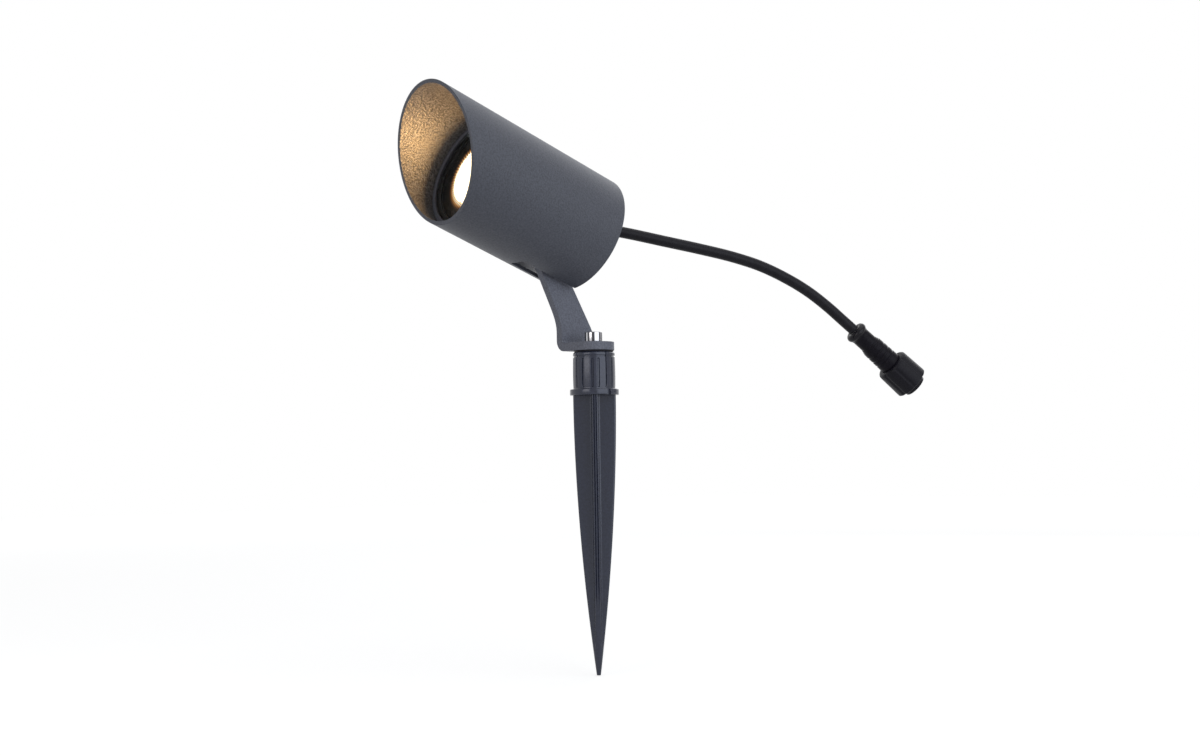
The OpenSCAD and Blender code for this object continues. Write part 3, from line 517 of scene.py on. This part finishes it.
# Painted light: an amber glow on the rim in dashes, one for each tooth of the lens, fading out from 15.9 to
# 18.9 mm.
place = node(tree, "TexCoord").outputs["Object"]
middle = (LAMP_BACK + LAMP_AXIS * HOLDER_FRONT * MM).tolist()
spoke = node(tree, "VectorMath", {0: place, 1: middle}, operation="SUBTRACT").outputs["Vector"]
height, side = (
    node(tree, "VectorMath", {0: spoke, 1: way.tolist()}, operation="DOT_PRODUCT").outputs["Value"]
    for way in (LAMP_UP, LAMP_ACROSS))
turn = node(tree, "Math", {0: height, 1: side}, operation="ARCTAN2").outputs[0]
by_tooth = node(tree, "Math", {0: turn, 1: float(LENS_TEETH)}, operation="MULTIPLY").outputs[0]
wave = node(tree, "Math", {0: by_tooth}, operation="COSINE").outputs[0]
teeth = node(tree, "Math", {0: wave, 1: 0.75, 2: 0.8}, operation="MULTIPLY_ADD").outputs[0]
reach = node(tree, "VectorMath", {0: spoke}, operation="LENGTH").outputs["Value"]
share = node(tree, "MapRange", {"Value": reach, "From Min": DASH_FROM * MM, "From Max": DASH_TO * MM})
painted_dashes = node(tree, "ValToRGB", {"Fac": share.outputs["Result"]})
painted_dashes.color_ramp.elements[0].color = linear("#ffe4c0")
painted_dashes.color_ramp.elements[1].color = linear("#000000")
for position, colour in ((0.22, "#dc9c5a"), (0.45, "#8c5830"), (0.75, "#3c2416")):
    painted_dashes.color_ramp.elements.new(position).color = linear(colour)
tree.links.new(painted_dashes.outputs["Color"], shader.inputs["Emission Color"])
tree.links.new(teeth, shader.inputs["Emission Strength"])
holder = piece("lens_cup", [turned(eased(HOLDER, 0.15), LAMP_BACK, LAMP_AXIS, circle(160), top=LAMP_UP)])
holder.data.materials.append(dead_black)
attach(holder, "head")
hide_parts("lens_holder")


# Bracket. 4 mm steel plate, cut to outline and bent up once, powder-coated; the clamp bolt holds its
# round foot and the pivot screw its narrow end.
FOOT_R, FOOT_LOW, FOOT_TOP = 10.0, 21.75, 25.75
BEND_X, BEND_IN, PLATE_T = 10.7, 1.5, 4.0
ARM_X = 14.2
PIVOT = np.array([-22.2, 75.1])
ARM_END_R = 6.2
FRONT_KNEE, REAR_KNEE = np.array([-10.0, 36.05]), np.array([10.0, 31.65])
FRONT_EASE, REAR_EASE, EDGE_POINTS = 7.0, 3.5, 40


def touch(point, centre, radius, side):
    """Point where the line from a point touches a circle, on the side given by the sign."""
    away = centre - point
    reach = np.hypot(*away)
    lean = np.arctan2(away[1], away[0]) + side * np.arcsin(radius / reach)
    return point + np.sqrt(reach**2 - radius**2) * np.array([np.cos(lean), np.sin(lean)])


def spaced(line, count):
    """The same line with its points evenly spaced along it."""
    run = np.hstack([0, np.cumsum(np.linalg.norm(np.diff(line, axis=0), axis=1))])
    at = np.linspace(0, run[-1], count)
    return np.stack([np.interp(at, run, line[:, k]) for k in (0, 1)], -1)


front_end = touch(FRONT_KNEE, PIVOT, ARM_END_R, 1)
rear_end = touch(REAR_KNEE, PIVOT, ARM_END_R, -1)
arm_low = FOOT_TOP + BEND_IN
front = spaced(eased([(-FOOT_R, arm_low), FRONT_KNEE, front_end], FRONT_EASE, 9), EDGE_POINTS)
rear = spaced(eased([(FOOT_R, arm_low), REAR_KNEE, rear_end], REAR_EASE, 9), EDGE_POINTS)
start, stop = (np.arctan2(*(p - PIVOT)[::-1]) for p in (front_end, rear_end))
start = start if start > stop else start + 2 * np.pi
swing = np.linspace(0, 0.5, 13)[1:, None]
front_round = start + (stop - start) * swing
rear_round = stop + (start - stop) * swing
front = np.vstack([front, PIVOT + ARM_END_R * np.hstack([np.cos(front_round), np.sin(front_round)])])
rear = np.vstack([rear, PIVOT + ARM_END_R * np.hstack([np.cos(rear_round), np.sin(rear_round)])])
foot_turn = np.linspace(0, np.pi / 2, 13)[:, None]
bend_turn = np.linspace(0, np.pi / 2, 9)[1:, None]


def plate_skin(bend_r, foot_z, arm_x):
    """Skin of the bent plate: rows run from the foot's free end over the bend and up the arm, and the
    columns from its front edge to its rear edge."""
    share = np.linspace(0, 1, 9)[None]
    foot_x = FOOT_R * np.cos(foot_turn)
    foot_y = FOOT_R * np.sin(foot_turn) * (2 * share - 1)
    foot = np.stack(np.broadcast_arrays(foot_x, foot_y, foot_z), -1)
    straight_x = np.linspace(0, -BEND_X, 8)[1:, None]
    flat = np.stack(np.broadcast_arrays(straight_x, FOOT_R * (2 * share - 1), foot_z), -1)
    bend = np.stack(np.broadcast_arrays(
        -BEND_X - bend_r * np.sin(bend_turn), FOOT_R * (2 * share - 1),
        arm_low - bend_r * np.cos(bend_turn)), -1)
    edge = front[1:, None] * (1 - share[..., None]) + rear[1:, None] * share[..., None]
    arm = np.concatenate([np.full((*edge.shape[:2], 1), arm_x), edge], -1)
    return MM * np.concatenate([foot, flat, bend, arm])


outer = plate_skin(BEND_IN + PLATE_T, FOOT_LOW, -ARM_X - PLATE_T / 2)
inner = plate_skin(BEND_IN, FOOT_TOP, -ARM_X + PLATE_T / 2)
kept = np.ones((outer.shape[0] - 1, outer.shape[1] - 1), bool)
bracket = shell("bent_bracket", outer, inner, kept, joined=False)
soften(bracket, 0.45)
# The bracket's coat is lighter than the tube's. This is partly its own lighter tone and partly painted
# light, for the light that the arm catches from the right.
bracket.data.materials.append(powder_coated("bracket_coat_with_painted_light", "#555863", "#686b78"))
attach(bracket, "bracket")
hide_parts("bracket")


# Ground spike. One moulding in black glass-filled nylon: a tapered cross of four fins, a flange at the
# ground line and a fluted collar with a groove under its rim.
SPIKE_LEN, TIP_R, SPIKE_GROW, TAPER_POWER = 135.0, 1.0, 9.4, 1.88
FIN_TURN, FIN_FROM = np.radians(51), 2.7
FLANGE_R, FLANGE_T, COLLAR_R, COLLAR_H = 11.9, 2.9, 10.2, 20.9
GROOVE_Z, GROOVE_W, GROOVE_DEPTH = 18.4, 0.7, 0.5
FLUTE_TURNS, FLUTE_HALF, FLUTE_DEPTH = (-33.0, -5.0, 11.5, 33.0), 0.4, 0.55
FLUTE_LOW, FLUTE_TOP = 3.6, 17.7
NOTCH_TURN, NOTCH_HALF, NOTCH_WALL = 126.0, 0.9, 0.7
CUT_SIDE = 0.24


def spike_section(depth):
    """Cross of four fins at each depth, cut to the taper's circle: radius 1 + 9.4 (1 - (depth /
    135)^1.88) mm. Each fin's edge has a spine between two shallow V grooves, round corners, and a small
    round at its root."""
    limit = TIP_R + SPIKE_GROW * (1 - (depth / SPIKE_LEN) ** TAPER_POWER)
    limit = limit[:, None]
    groove = np.clip((limit - 3) / 3, 0, 1) * 0.35
    across = np.array([0, 0.3, 0.6, 0.85, 1.08, 1.27, 1.41, 1.48, 1.5, 1.5, 1.53, 1.63, 1.8])
    inward = np.array([0, 0.02, 1.0, 0.03, 0.08, 0.2, 0.4, 0.65, 1.0, 0, 0, 0, 0])
    grooved = np.array([0, 0, 1, 0, 0, 0, 0, 0, 0, 0, 0, 0, 0])
    along = limit - inward * (1 - grooved) - groove * grooved
    root = np.array([0, 0, 0, 0, 0, 0, 0, 0, 0, 2.6, 2.2, 1.95, 1.8])
    along = np.where(root > 0, root, np.maximum(along, FIN_FROM))
    half = np.stack([along, np.broadcast_to(across, along.shape)], -1)
    mirrored = half[:, ::-1, ::-1]
    quarter = np.concatenate([half, mirrored[:, 1:-1]], 1)
    reach = np.linalg.norm(quarter, axis=-1, keepdims=True)
    quarter = quarter * np.minimum(1, limit[..., None] / reach)
    turns = FIN_TURN + np.arange(4) * np.pi / 2
    ahead = np.stack([np.cos(turns), np.sin(turns)], -1)
    beside = np.stack([-np.sin(turns), np.cos(turns)], -1)
    flat = quarter[:, None, :, :1] * ahead[:, None] + quarter[:, None, :, 1:] * beside[:, None]
    return flat.reshape(len(depth), -1, 2)


depth = np.hstack([-1.5, np.linspace(0, 120, 49), np.linspace(120, SPIKE_LEN, 25)[1:]])
section = spike_section(np.clip(depth, 0, None))
spike_fins = MM * np.concatenate([
    section, np.broadcast_to(-depth[:, None, None], (*section.shape[:2], 1))], -1)

COLLAR = [(0, 0), (0, FLANGE_R), (FLANGE_T, FLANGE_R), (FLANGE_T, COLLAR_R),
          (FLUTE_LOW, COLLAR_R), (FLUTE_LOW + 0.3, COLLAR_R + 0.01), (5.5, COLLAR_R + 0.05),
          (7.5, COLLAR_R + 0.08), (9.5, COLLAR_R + 0.1), (11.5, COLLAR_R + 0.09), (13.5, COLLAR_R + 0.07),
          (15.5, COLLAR_R + 0.03), (FLUTE_TOP - 0.3, COLLAR_R - 0.03), (FLUTE_TOP, COLLAR_R - 0.03),
          (GROOVE_Z, COLLAR_R), (GROOVE_Z, COLLAR_R - GROOVE_DEPTH),
          (GROOVE_Z + GROOVE_W, COLLAR_R - GROOVE_DEPTH), (GROOVE_Z + GROOVE_W, COLLAR_R),
          (COLLAR_H - 0.6, COLLAR_R), (COLLAR_H, COLLAR_R - 0.6), (COLLAR_H, 0)]
profile = eased(COLLAR, [0.4, 0.5, 0.3] + [0] * 10 + [0.15, 0.12, 0.12, 0.15, 0.2, 0.2], 5)
marks = (np.degrees(FIN_TURN) + 90 * np.arange(4)[:, None] + [[*FLUTE_TURNS, NOTCH_TURN]]).ravel()
turns = np.unique(np.round(np.hstack([
    np.arange(0, 360, 2.0), (marks[:, None] + np.linspace(-6, 6, 25)).ravel() % 360]), 2))


def grooved_collar(station, radius, turns):
    """Radius of the collar less its flutes, of which the last after each fin runs out through the
    rim, and of the flange less its two notches. The side of a flute or notch is 0.24 mm wide."""
    def dip(at, half, pitch=90):
        off = (np.degrees(turns - FIN_TURN) - at + pitch / 2) % pitch - pitch / 2
        return np.clip((half + CUT_SIDE / 2 - np.abs(np.radians(off)) * COLLAR_R) / CUT_SIDE, 0, 1)
    side = (station > FLUTE_LOW + 0.1) & (radius > 9)
    cut = np.maximum.reduce([
        dip(at, FLUTE_HALF) * ((station < FLUTE_TOP - 0.1) | (at == max(FLUTE_TURNS)))
        for at in FLUTE_TURNS])
    notched = FLANGE_R - dip(NOTCH_TURN, NOTCH_HALF, 180) * (FLANGE_R - COLLAR_R - NOTCH_WALL)
    return np.where(station <= FLANGE_T + 1e-6, np.minimum(radius, notched),
                    radius - FLUTE_DEPTH * cut * side)


# Glass-filled nylon, moulded: satin near-black with a blue-grey cast and faint flow mottling.
spike_nylon, shader = material(
    "glass_filled_nylon", roughness=0.18, specular_ior_level=0.52, specular_tint="#eef2ff")
grain = object_noise(spike_nylon, 1.1, detail=3)
mottle(spike_nylon, shader, "#1d202f", "#262a3b", grain)
relief(spike_nylon, shader, grain, 0.015)

collar_grid = turned(profile, np.zeros(3), (0, 0, 1), np.radians(turns), grooved_collar, top=(0, 1, 0))
spike = piece("spike_moulding", [spike_fins, collar_grid], sharp=30)
spike.data.materials.append(spike_nylon)
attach(spike, "stake")
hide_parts("ground_spike")


# Clamp bolt. Stainless M5 socket-head screw with a plain turned head; it goes through the bracket's
# foot and the slip washer into the brass insert of the collar.
HEAD_LOW, HEAD_H, HEAD_R, SHANK_R, BOLT_LEN = 25.8, 5.0, 4.25, 2.5, 16.0
SOCKET_R, SOCKET_DEPTH = 2.0 / np.cos(np.radians(30)), 2.5
# Turns, in degrees, where dark bands of painted reflection run down the head's side; the steel's own colour,
# the bands' colour and how far they fade.
DARK_REFLECTION_TURNS = [(-150, -125), (-110, -98), (-83, -68), (-52, -33), (-1, 12), (20, 38), (100, 130)]
BRIGHT, DARK_REFLECTION, FADE_TURN = "#b8b8bc", "#46464a", 3


def six_sided(radius, turns):
    """Radius of a hexagon whose corners reach the given radius."""
    sixth = np.pi / 3
    return radius * np.cos(sixth / 2) / np.cos(turns % sixth - sixth / 2)


def socketed(station, radius, turns):
    """Radius of the screw, with the six-sided socket in the top of its head."""
    socket = (station > 0) & (radius > 0) & (radius < SOCKET_R + 0.1)
    return np.where(socket, six_sided(SOCKET_R, turns), radius + 0 * turns)


def socket_screw(seat, axis, length):
    """Grid of an M5 socket-head screw: stations count from the seat under its head."""
    floor = HEAD_H - SOCKET_DEPTH
    profile = [(-length, 0), (-length, SHANK_R - 0.4), (-length + 0.5, SHANK_R), (0, SHANK_R), (0, HEAD_R),
               (HEAD_H - 0.3, HEAD_R), (HEAD_H, HEAD_R - 0.3), (HEAD_H, SOCKET_R + 0.25),
               (HEAD_H - 0.2, SOCKET_R), (floor, SOCKET_R), (floor - 0.6, 0)]
    ease = [0.1, 0.1, 0.1, 0.3, 0.2, 0.2, 0.1, 0.1, 0.1]
    top = (0, 1, 0) if axis[2] else (0, 0, 1)
    return turned(eased(profile, ease, 4), seat, axis, circle(240), socketed, top=top)


# Stainless steel, turned and polished: bright, with dark bands down the head's side, painted reflections of
# dark surroundings.
stainless, shader = material("polished_stainless", base_color="#b9b9bd", metallic=1.0, roughness=0.2)
relief(stainless, shader, object_noise(stainless, 0.6, stretch=(1, 1, 4)), 0.004)
painted_reflection_steel, shader = material("stainless_painted_reflections", metallic=1.0, roughness=0.2)
tree = painted_reflection_steel.node_tree
swing = node(tree, "TexGradient", {"Vector": node(tree, "TexCoord").outputs["Object"]},
             gradient_type="RADIAL").outputs["Fac"]
painted_bands = node(tree, "ValToRGB", {"Fac": swing})
painted_bands.color_ramp.elements[0].color = painted_bands.color_ramp.elements[1].color = linear(BRIGHT)
for low, high in DARK_REFLECTION_TURNS:
    for at, colour in ((low - FADE_TURN, BRIGHT), (low + FADE_TURN, DARK_REFLECTION),
                       (high - FADE_TURN, DARK_REFLECTION), (high + FADE_TURN, BRIGHT)):
        painted_bands.color_ramp.elements.new(at / 360 + 0.5).color = linear(colour)
tree.links.new(painted_bands.outputs["Color"], shader.inputs["Base Color"])
bolt = piece("socket_bolt", [socket_screw(np.array([0, 0, HEAD_LOW * MM]), (0, 0, 1), BOLT_LEN)])
bolt.data.materials.append(painted_reflection_steel)
bolt.data.materials.append(stainless)
# The head's side takes the painted dark reflections; the rest is plain polished steel.
for face in bolt.data.polygons:
    above = face.center.z / MM - HEAD_LOW
    face.material_index = int(not 0 <= above <= HEAD_H - 0.31)
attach(bolt, "stake")
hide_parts("clamp_bolt")


# Pivot screw and lock nut. The same M5 screw goes through the ears of the lamp body and the bracket's
# end; a lock nut with a nylon ring holds the tilt where it is set.
PIVOT_AT = np.array([-ARM_X, *PIVOT]) * MM
EAR_OUT, LOCK_NUT_T, LOCK_NUT_WIDTH, HEX_T = 5.65, 5.0, 8.0, 3.75
HEX_CORNER, NYLON_R = LOCK_NUT_WIDTH / 2 / np.cos(np.radians(30)), LOCK_NUT_WIDTH / 2 - 0.1
pivot_screw = piece("pivot_socket_screw", [socket_screw(
    PIVOT_AT + np.array([EAR_OUT * MM, 0, 0]), (1, 0, 0), 2 * EAR_OUT + LOCK_NUT_T + 1)])
pivot_screw.data.materials.append(stainless)
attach(pivot_screw, "head")
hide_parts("pivot_screw")


def hexed(first, last, corner_r):
    """Rule for a radius less whatever stands outside a hexagon, from the first station to the last."""
    def ripple(station, radius, turns):
        sides = six_sided(corner_r, turns)
        flat = (station >= first) & (station <= last) & (radius > corner_r * 0.8)
        return np.where(flat, np.minimum(radius, sides), radius + 0 * turns)
    return ripple


LOCK_NUT = [(0, SHANK_R + 0.1), (0, LOCK_NUT_WIDTH / 2), (0.35, HEX_CORNER), (HEX_T - 0.35, HEX_CORNER),
            (HEX_T, NYLON_R), (LOCK_NUT_T - 0.5, NYLON_R), (LOCK_NUT_T, NYLON_R - 0.6),
            (LOCK_NUT_T, SHANK_R + 0.1), (0, SHANK_R + 0.1)]
lock_nut_grid = turned(
    eased(LOCK_NUT, 0.12, 4), PIVOT_AT - np.array([EAR_OUT * MM, 0, 0]), (-1, 0, 0), circle(144),
    hexed(0, HEX_T, HEX_CORNER))
lock_nut = piece("pivot_lock_nut", [lock_nut_grid], sharp=25)
lock_nut.data.materials.append(stainless)
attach(lock_nut, "head")
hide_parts("pivot_nut")


# Cable gland. Black nylon: a six-sided body screwed into the lamp's back and a dome nut, whose ribbed
# flats give grip, that squeezes the seal on the cable.
GLAND_RISE, GLAND_CORNER, GLAND_R, GLAND_BORE_R = 4.01, 7.5 / np.cos(np.radians(30)), 6.0, 2.9
GLAND_AT = LAMP_BACK + LAMP_UP * GLAND_RISE * MM
SEAL_R, DOME_R, DOME_IN_R = 4.65, 8.17, 6.1
GLAND_BODY = [(28, SEAL_R), (28, GLAND_R), (34, GLAND_R), (34, 7.4), (34.5, GLAND_CORNER),
              (38.5, GLAND_CORNER), (39, 7.4), (39, GLAND_R), (45, GLAND_R), (45, GLAND_BORE_R),
              (34, GLAND_BORE_R), (34, SEAL_R), (28, SEAL_R)]
RIB_FROM, RIB_TO, RIB_END, RIB_DEPTH, RIBS = 25.0, 32.8, 0.5, 0.25, 60
DOME_NUT = [(20, GLAND_BORE_R), (20, 4.15), (21, 6.0), (24, DOME_R), (RIB_FROM, DOME_R),
            (RIB_FROM + RIB_END, DOME_R), (RIB_TO - RIB_END, DOME_R), (RIB_TO, DOME_R), (33.5, DOME_R),
            (33.9, 7.6), (33.9, DOME_IN_R), (24, DOME_IN_R), (24, GLAND_BORE_R), (20, GLAND_BORE_R)]


def ribbed(station, radius, turns):
    """Radius of the dome nut: six flats, and grip ribs 0.25 mm deep that fade in over the first and
    the last half millimetre of their length."""
    fade = np.clip((station - RIB_FROM) / RIB_END, 0, 1) * np.clip((RIB_TO - station) / RIB_END, 0, 1)
    ribs = RIB_DEPTH * (0.5 + 0.5 * np.cos(RIBS * turns)) * fade * (radius > GLAND_CORNER * 0.8)
    return hexed(20, 34, GLAND_CORNER)(station, radius, turns) - ribs


body_grid = turned(eased(GLAND_BODY, 0.15, 4), GLAND_AT, LAMP_AXIS, circle(144),
                   hexed(34, 39, GLAND_CORNER), top=LAMP_UP)
gland_body = piece("gland_hex_body", [body_grid], sharp=25)
dome_profile = eased(DOME_NUT, [0.3, 0.9, 0.9, 0, 0, 0, 0, 0.25, 0.25, 0.2, 0.2, 0.2], 5)
dome_grid = turned(dome_profile, GLAND_AT, LAMP_AXIS, circle(360), ribbed, top=LAMP_UP)
gland_nut = piece("gland_dome_nut", [dome_grid])
for obj, replaced in ((gland_body, "gland_body"), (gland_nut, "gland_nut")):
    obj.data.materials.append(black_nylon)
    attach(obj, "head")
    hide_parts(replaced)


# Small parts and the works in the lamp. These keep the solids of the part, each in its real finish: the
# turned and stamped metal ones, the moulded ones, and the boards with what is soldered to them.
def grained(name, dark, light, grain_mm, depth_mm, **values):
    """Material whose colour wanders between dark and light and whose surface has a fine grain."""
    made, shader = material(name, **values)
    grain = object_noise(made, grain_mm)
    mottle(made, shader, dark, light, grain)
    relief(made, shader, grain, depth_mm)
    return made


# Turned brass is warm and bright, milled aluminium a soft pale grey; black anodising is dull and even,
# and blackened steel gleams a little. Silicone is matte. Solder mask is a smooth lacquer, white round the
# LED and green elsewhere, and the phosphor a flat yellow. Epoxy, wire insulation and acetal are satin
# plastics, and the front glass is clear with an anti-reflection coat.
brass = grained("turned_brass", "#b08d4a", "#c29c55", 1.0, 0.01, metallic=1.0, roughness=0.3)
anodised = grained(
    "black_anodised_aluminium", "#17171b", "#1f1f24", 1.1, 0.01, roughness=0.45, specular_ior_level=0.3)
black_steel = grained("blackened_steel", "#26262a", "#303034", 0.8, 0.01, metallic=0.6, roughness=0.45)
seal_rubber = grained("seal_silicone", "#1b1b1d", "#242426", 0.9, 0.02, roughness=0.6)
bare_aluminium = grained("milled_aluminium", "#a8aaae", "#b6b8bc", 1.2, 0.01, metallic=1.0, roughness=0.38)
pad_grey = grained("thermal_silicone", "#8a8d90", "#95989b", 0.8, 0.02, roughness=0.8)
board_white = grained("white_solder_mask", "#e6e6e2", "#f0f0ec", 1.5, 0.01, roughness=0.35)
led_phosphor = grained("led_phosphor", "#e3c33c", "#edcf50", 0.6, 0.01, roughness=0.5)
board_green = grained("green_solder_mask", "#1e5a35", "#26693f", 1.5, 0.01, roughness=0.35)
parts_plastic = grained("component_epoxy", "#2c2c30", "#36363a", 0.7, 0.02, roughness=0.5)
wire_red = grained("wire_insulation", "#9c2420", "#ab2c27", 1.0, 0.01, roughness=0.4)
washer_white = grained("acetal_washer", "#d9d9d4", "#e3e3de", 0.9, 0.01, roughness=0.4)
front_glass, shader = material(
    "toughened_glass", base_color="#f4fbf8", roughness=0.02, specular_ior_level=0.3,
    transmission_weight=1.0, ior=1.25)

FINISHES = {
    brass: ["spike_insert", "plug_contacts"],
    black_steel: ["tube_grub_screw"],
    stainless: ["plate_screws", "board_screws", "driver_screws"],
    black_nylon: ["slip_washer", "plug_insert"],
    anodised: ["lamp_body"],
    bare_aluminium: ["heat_plate"],
    pad_grey: ["thermal_pad"],
    board_white: ["led_board"],
    led_phosphor: ["led_chip"],
    seal_rubber: ["front_gasket", "gland_washer", "gland_seal", "plug_seal"],
    front_glass: ["front_glass"],
    board_green: ["driver_board"],
    parts_plastic: ["driver_parts"],
    wire_red: ["lead_wires"],
    cable_rubber: ["cable_end"],
    washer_white: ["pivot_washers"],
}
for finish, names in FINISHES.items():
    for name in names:
        for held in nodes[name].material_slots:
            held.material = finish
for name in ("plug_insert", "slip_washer", "pivot_washers", "tube_grub_screw"):
    weld = nodes[name].modifiers.new("joined_faces", "WELD")
    weld.merge_threshold = 0.002 * MM
    soften(nodes[name], 0.15, 2)


# Studio. A white background and a pale floor, plain soft boxes at the left, the right, above and
# behind, and the amber light that the lens throws on the inside of the tube.
SOFT_GLOW = 0.26
world = bpy.data.worlds.new("studio")
bpy.context.scene.world = world
world.use_nodes = True
tree = world.node_tree
tree.nodes.clear()
seen = node(tree, "LightPath").outputs
direct = node(tree, "Math", {0: seen["Is Camera Ray"], 1: seen["Is Glossy Ray"]}, operation="MAXIMUM")
shown = node(tree, "Math", {0: direct.outputs[0], 1: seen["Is Transmission Ray"]}, operation="MAXIMUM")
glow = node(tree, "Background", {"Color": (0.96, 0.98, 1, 1), "Strength": SOFT_GLOW})
white = node(tree, "Background", {"Color": (1, 1, 1, 1), "Strength": 1.0})
mixed = node(tree, "MixShader", {0: shown.outputs[0], 1: glow.outputs[0], 2: white.outputs[0]})
node(tree, "OutputWorld", {"Surface": mixed.outputs[0]})

FLOOR_Z, FLOOR_HALF = -0.1353, 3.0
LIFT_NEAR, LIFT_FAR = 0.69, 0.88
floor_mesh = bpy.data.meshes.new("floor")
floor_mesh.from_pydata([(-FLOOR_HALF, -FLOOR_HALF, FLOOR_Z), (FLOOR_HALF, -FLOOR_HALF, FLOOR_Z),
                        (FLOOR_HALF, FLOOR_HALF, FLOOR_Z), (-FLOOR_HALF, FLOOR_HALF, FLOOR_Z)], [],
                       [(0, 1, 2, 3)])
floor = bpy.data.objects.new("floor", floor_mesh)
bpy.context.collection.objects.link(floor)

# Matte paper: seen directly it is lifted to white, a little more where the boxes' light falls off, so
# that the object's shadow stays and the floor has no horizon.
floor_paint, shader = material("matte_white_floor", base_color="#bcbcbc", roughness=1.0,
                               specular_ior_level=0.0, emission_color="#ffffff")
tree = floor_paint.node_tree
seen = node(tree, "LightPath").outputs
direct = node(tree, "Math", {0: seen["Is Camera Ray"], 1: seen["Is Glossy Ray"]}, operation="MAXIMUM")
away = node(tree, "VectorMath", {0: node(tree, "TexCoord").outputs["Object"]}, operation="LENGTH")
missing = node(tree, "MapRange", {"Value": away.outputs["Value"], "From Min": 0.2, "From Max": 2.0,
                                  "To Min": LIFT_NEAR, "To Max": LIFT_FAR})
lift = node(tree, "Math", {0: direct.outputs[0], 1: missing.outputs["Result"]}, operation="MULTIPLY")
tree.links.new(lift.outputs[0], shader.inputs["Emission Strength"])
floor.data.materials.append(floor_paint)


def soft_box(name, side, rise, away, width, height, radiance, colour):
    """Soft box at an angle from the camera's side and a rise above the floor, in degrees, turned to
    the object: its power is radiance times pi times its area."""
    data = bpy.data.lights.new(name, "AREA")
    data.shape = "RECTANGLE"
    data.size, data.size_y = width, height
    data.energy = radiance * np.pi * width * height
    data.color = colour
    obj = bpy.data.objects.new(name, data)
    side, rise = VIEW_SIDE + np.radians(side), np.radians(rise)
    out = np.array([np.sin(side) * np.cos(rise), -np.cos(side) * np.cos(rise), np.sin(rise)])
    level = unit(np.cross([0, 0, 1], out))
    turn = Matrix(np.column_stack([level, np.cross(out, level), out]).tolist()).to_4x4()
    obj.matrix_world = Matrix.Translation((VIEW_AIM + out * away).tolist()) @ turn
    bpy.context.collection.objects.link(obj)


soft_box("left_box", -39, 15.5, 1.1, 0.6, 0.5, 2.7, (1.0, 0.95, 0.9))
soft_box("right_box", 43, 16, 1.1, 1.25, 0.9, 1.7, (0.9, 0.95, 1.0))
soft_box("top_box", 60, 78, 1.1, 1.1, 1.1, 1.0, (0.97, 0.98, 1.0))
soft_box("rear_box", 150, 25, 1.3, 0.8, 0.8, 1.0, (0.97, 0.98, 1.0))

AMBER = (1.0, 0.58, 0.23)
LIGHT_AT, LIGHT_SIZE = 73.2, 0.008


def lens_lamp(name, watts, spread):
    """Small disc of amber light just before the bezel, facing out of the tube, whose beam is as wide
    as the spread, in degrees."""
    data = bpy.data.lights.new(name, "AREA")
    data.shape = "DISK"
    data.size = LIGHT_SIZE
    data.energy = watts
    data.color = AMBER
    data.spread = np.radians(spread)
    lamp = bpy.data.objects.new(name, data)
    turn = Matrix(np.column_stack([-LAMP_ACROSS, LAMP_UP, -LAMP_AXIS]).tolist()).to_4x4()
    lamp.matrix_world = Matrix.Translation((LAMP_BACK + LAMP_AXIS * LIGHT_AT * MM).tolist()) @ turn
    lamp.visible_camera = False
    bpy.context.collection.objects.link(lamp)
    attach(lamp, "head")


lens_lamp("lens_light", 0.056, 165.5)
lens_lamp("lens_beam", 0.014, 115)

bpy.context.scene.view_settings.view_transform = "Standard"
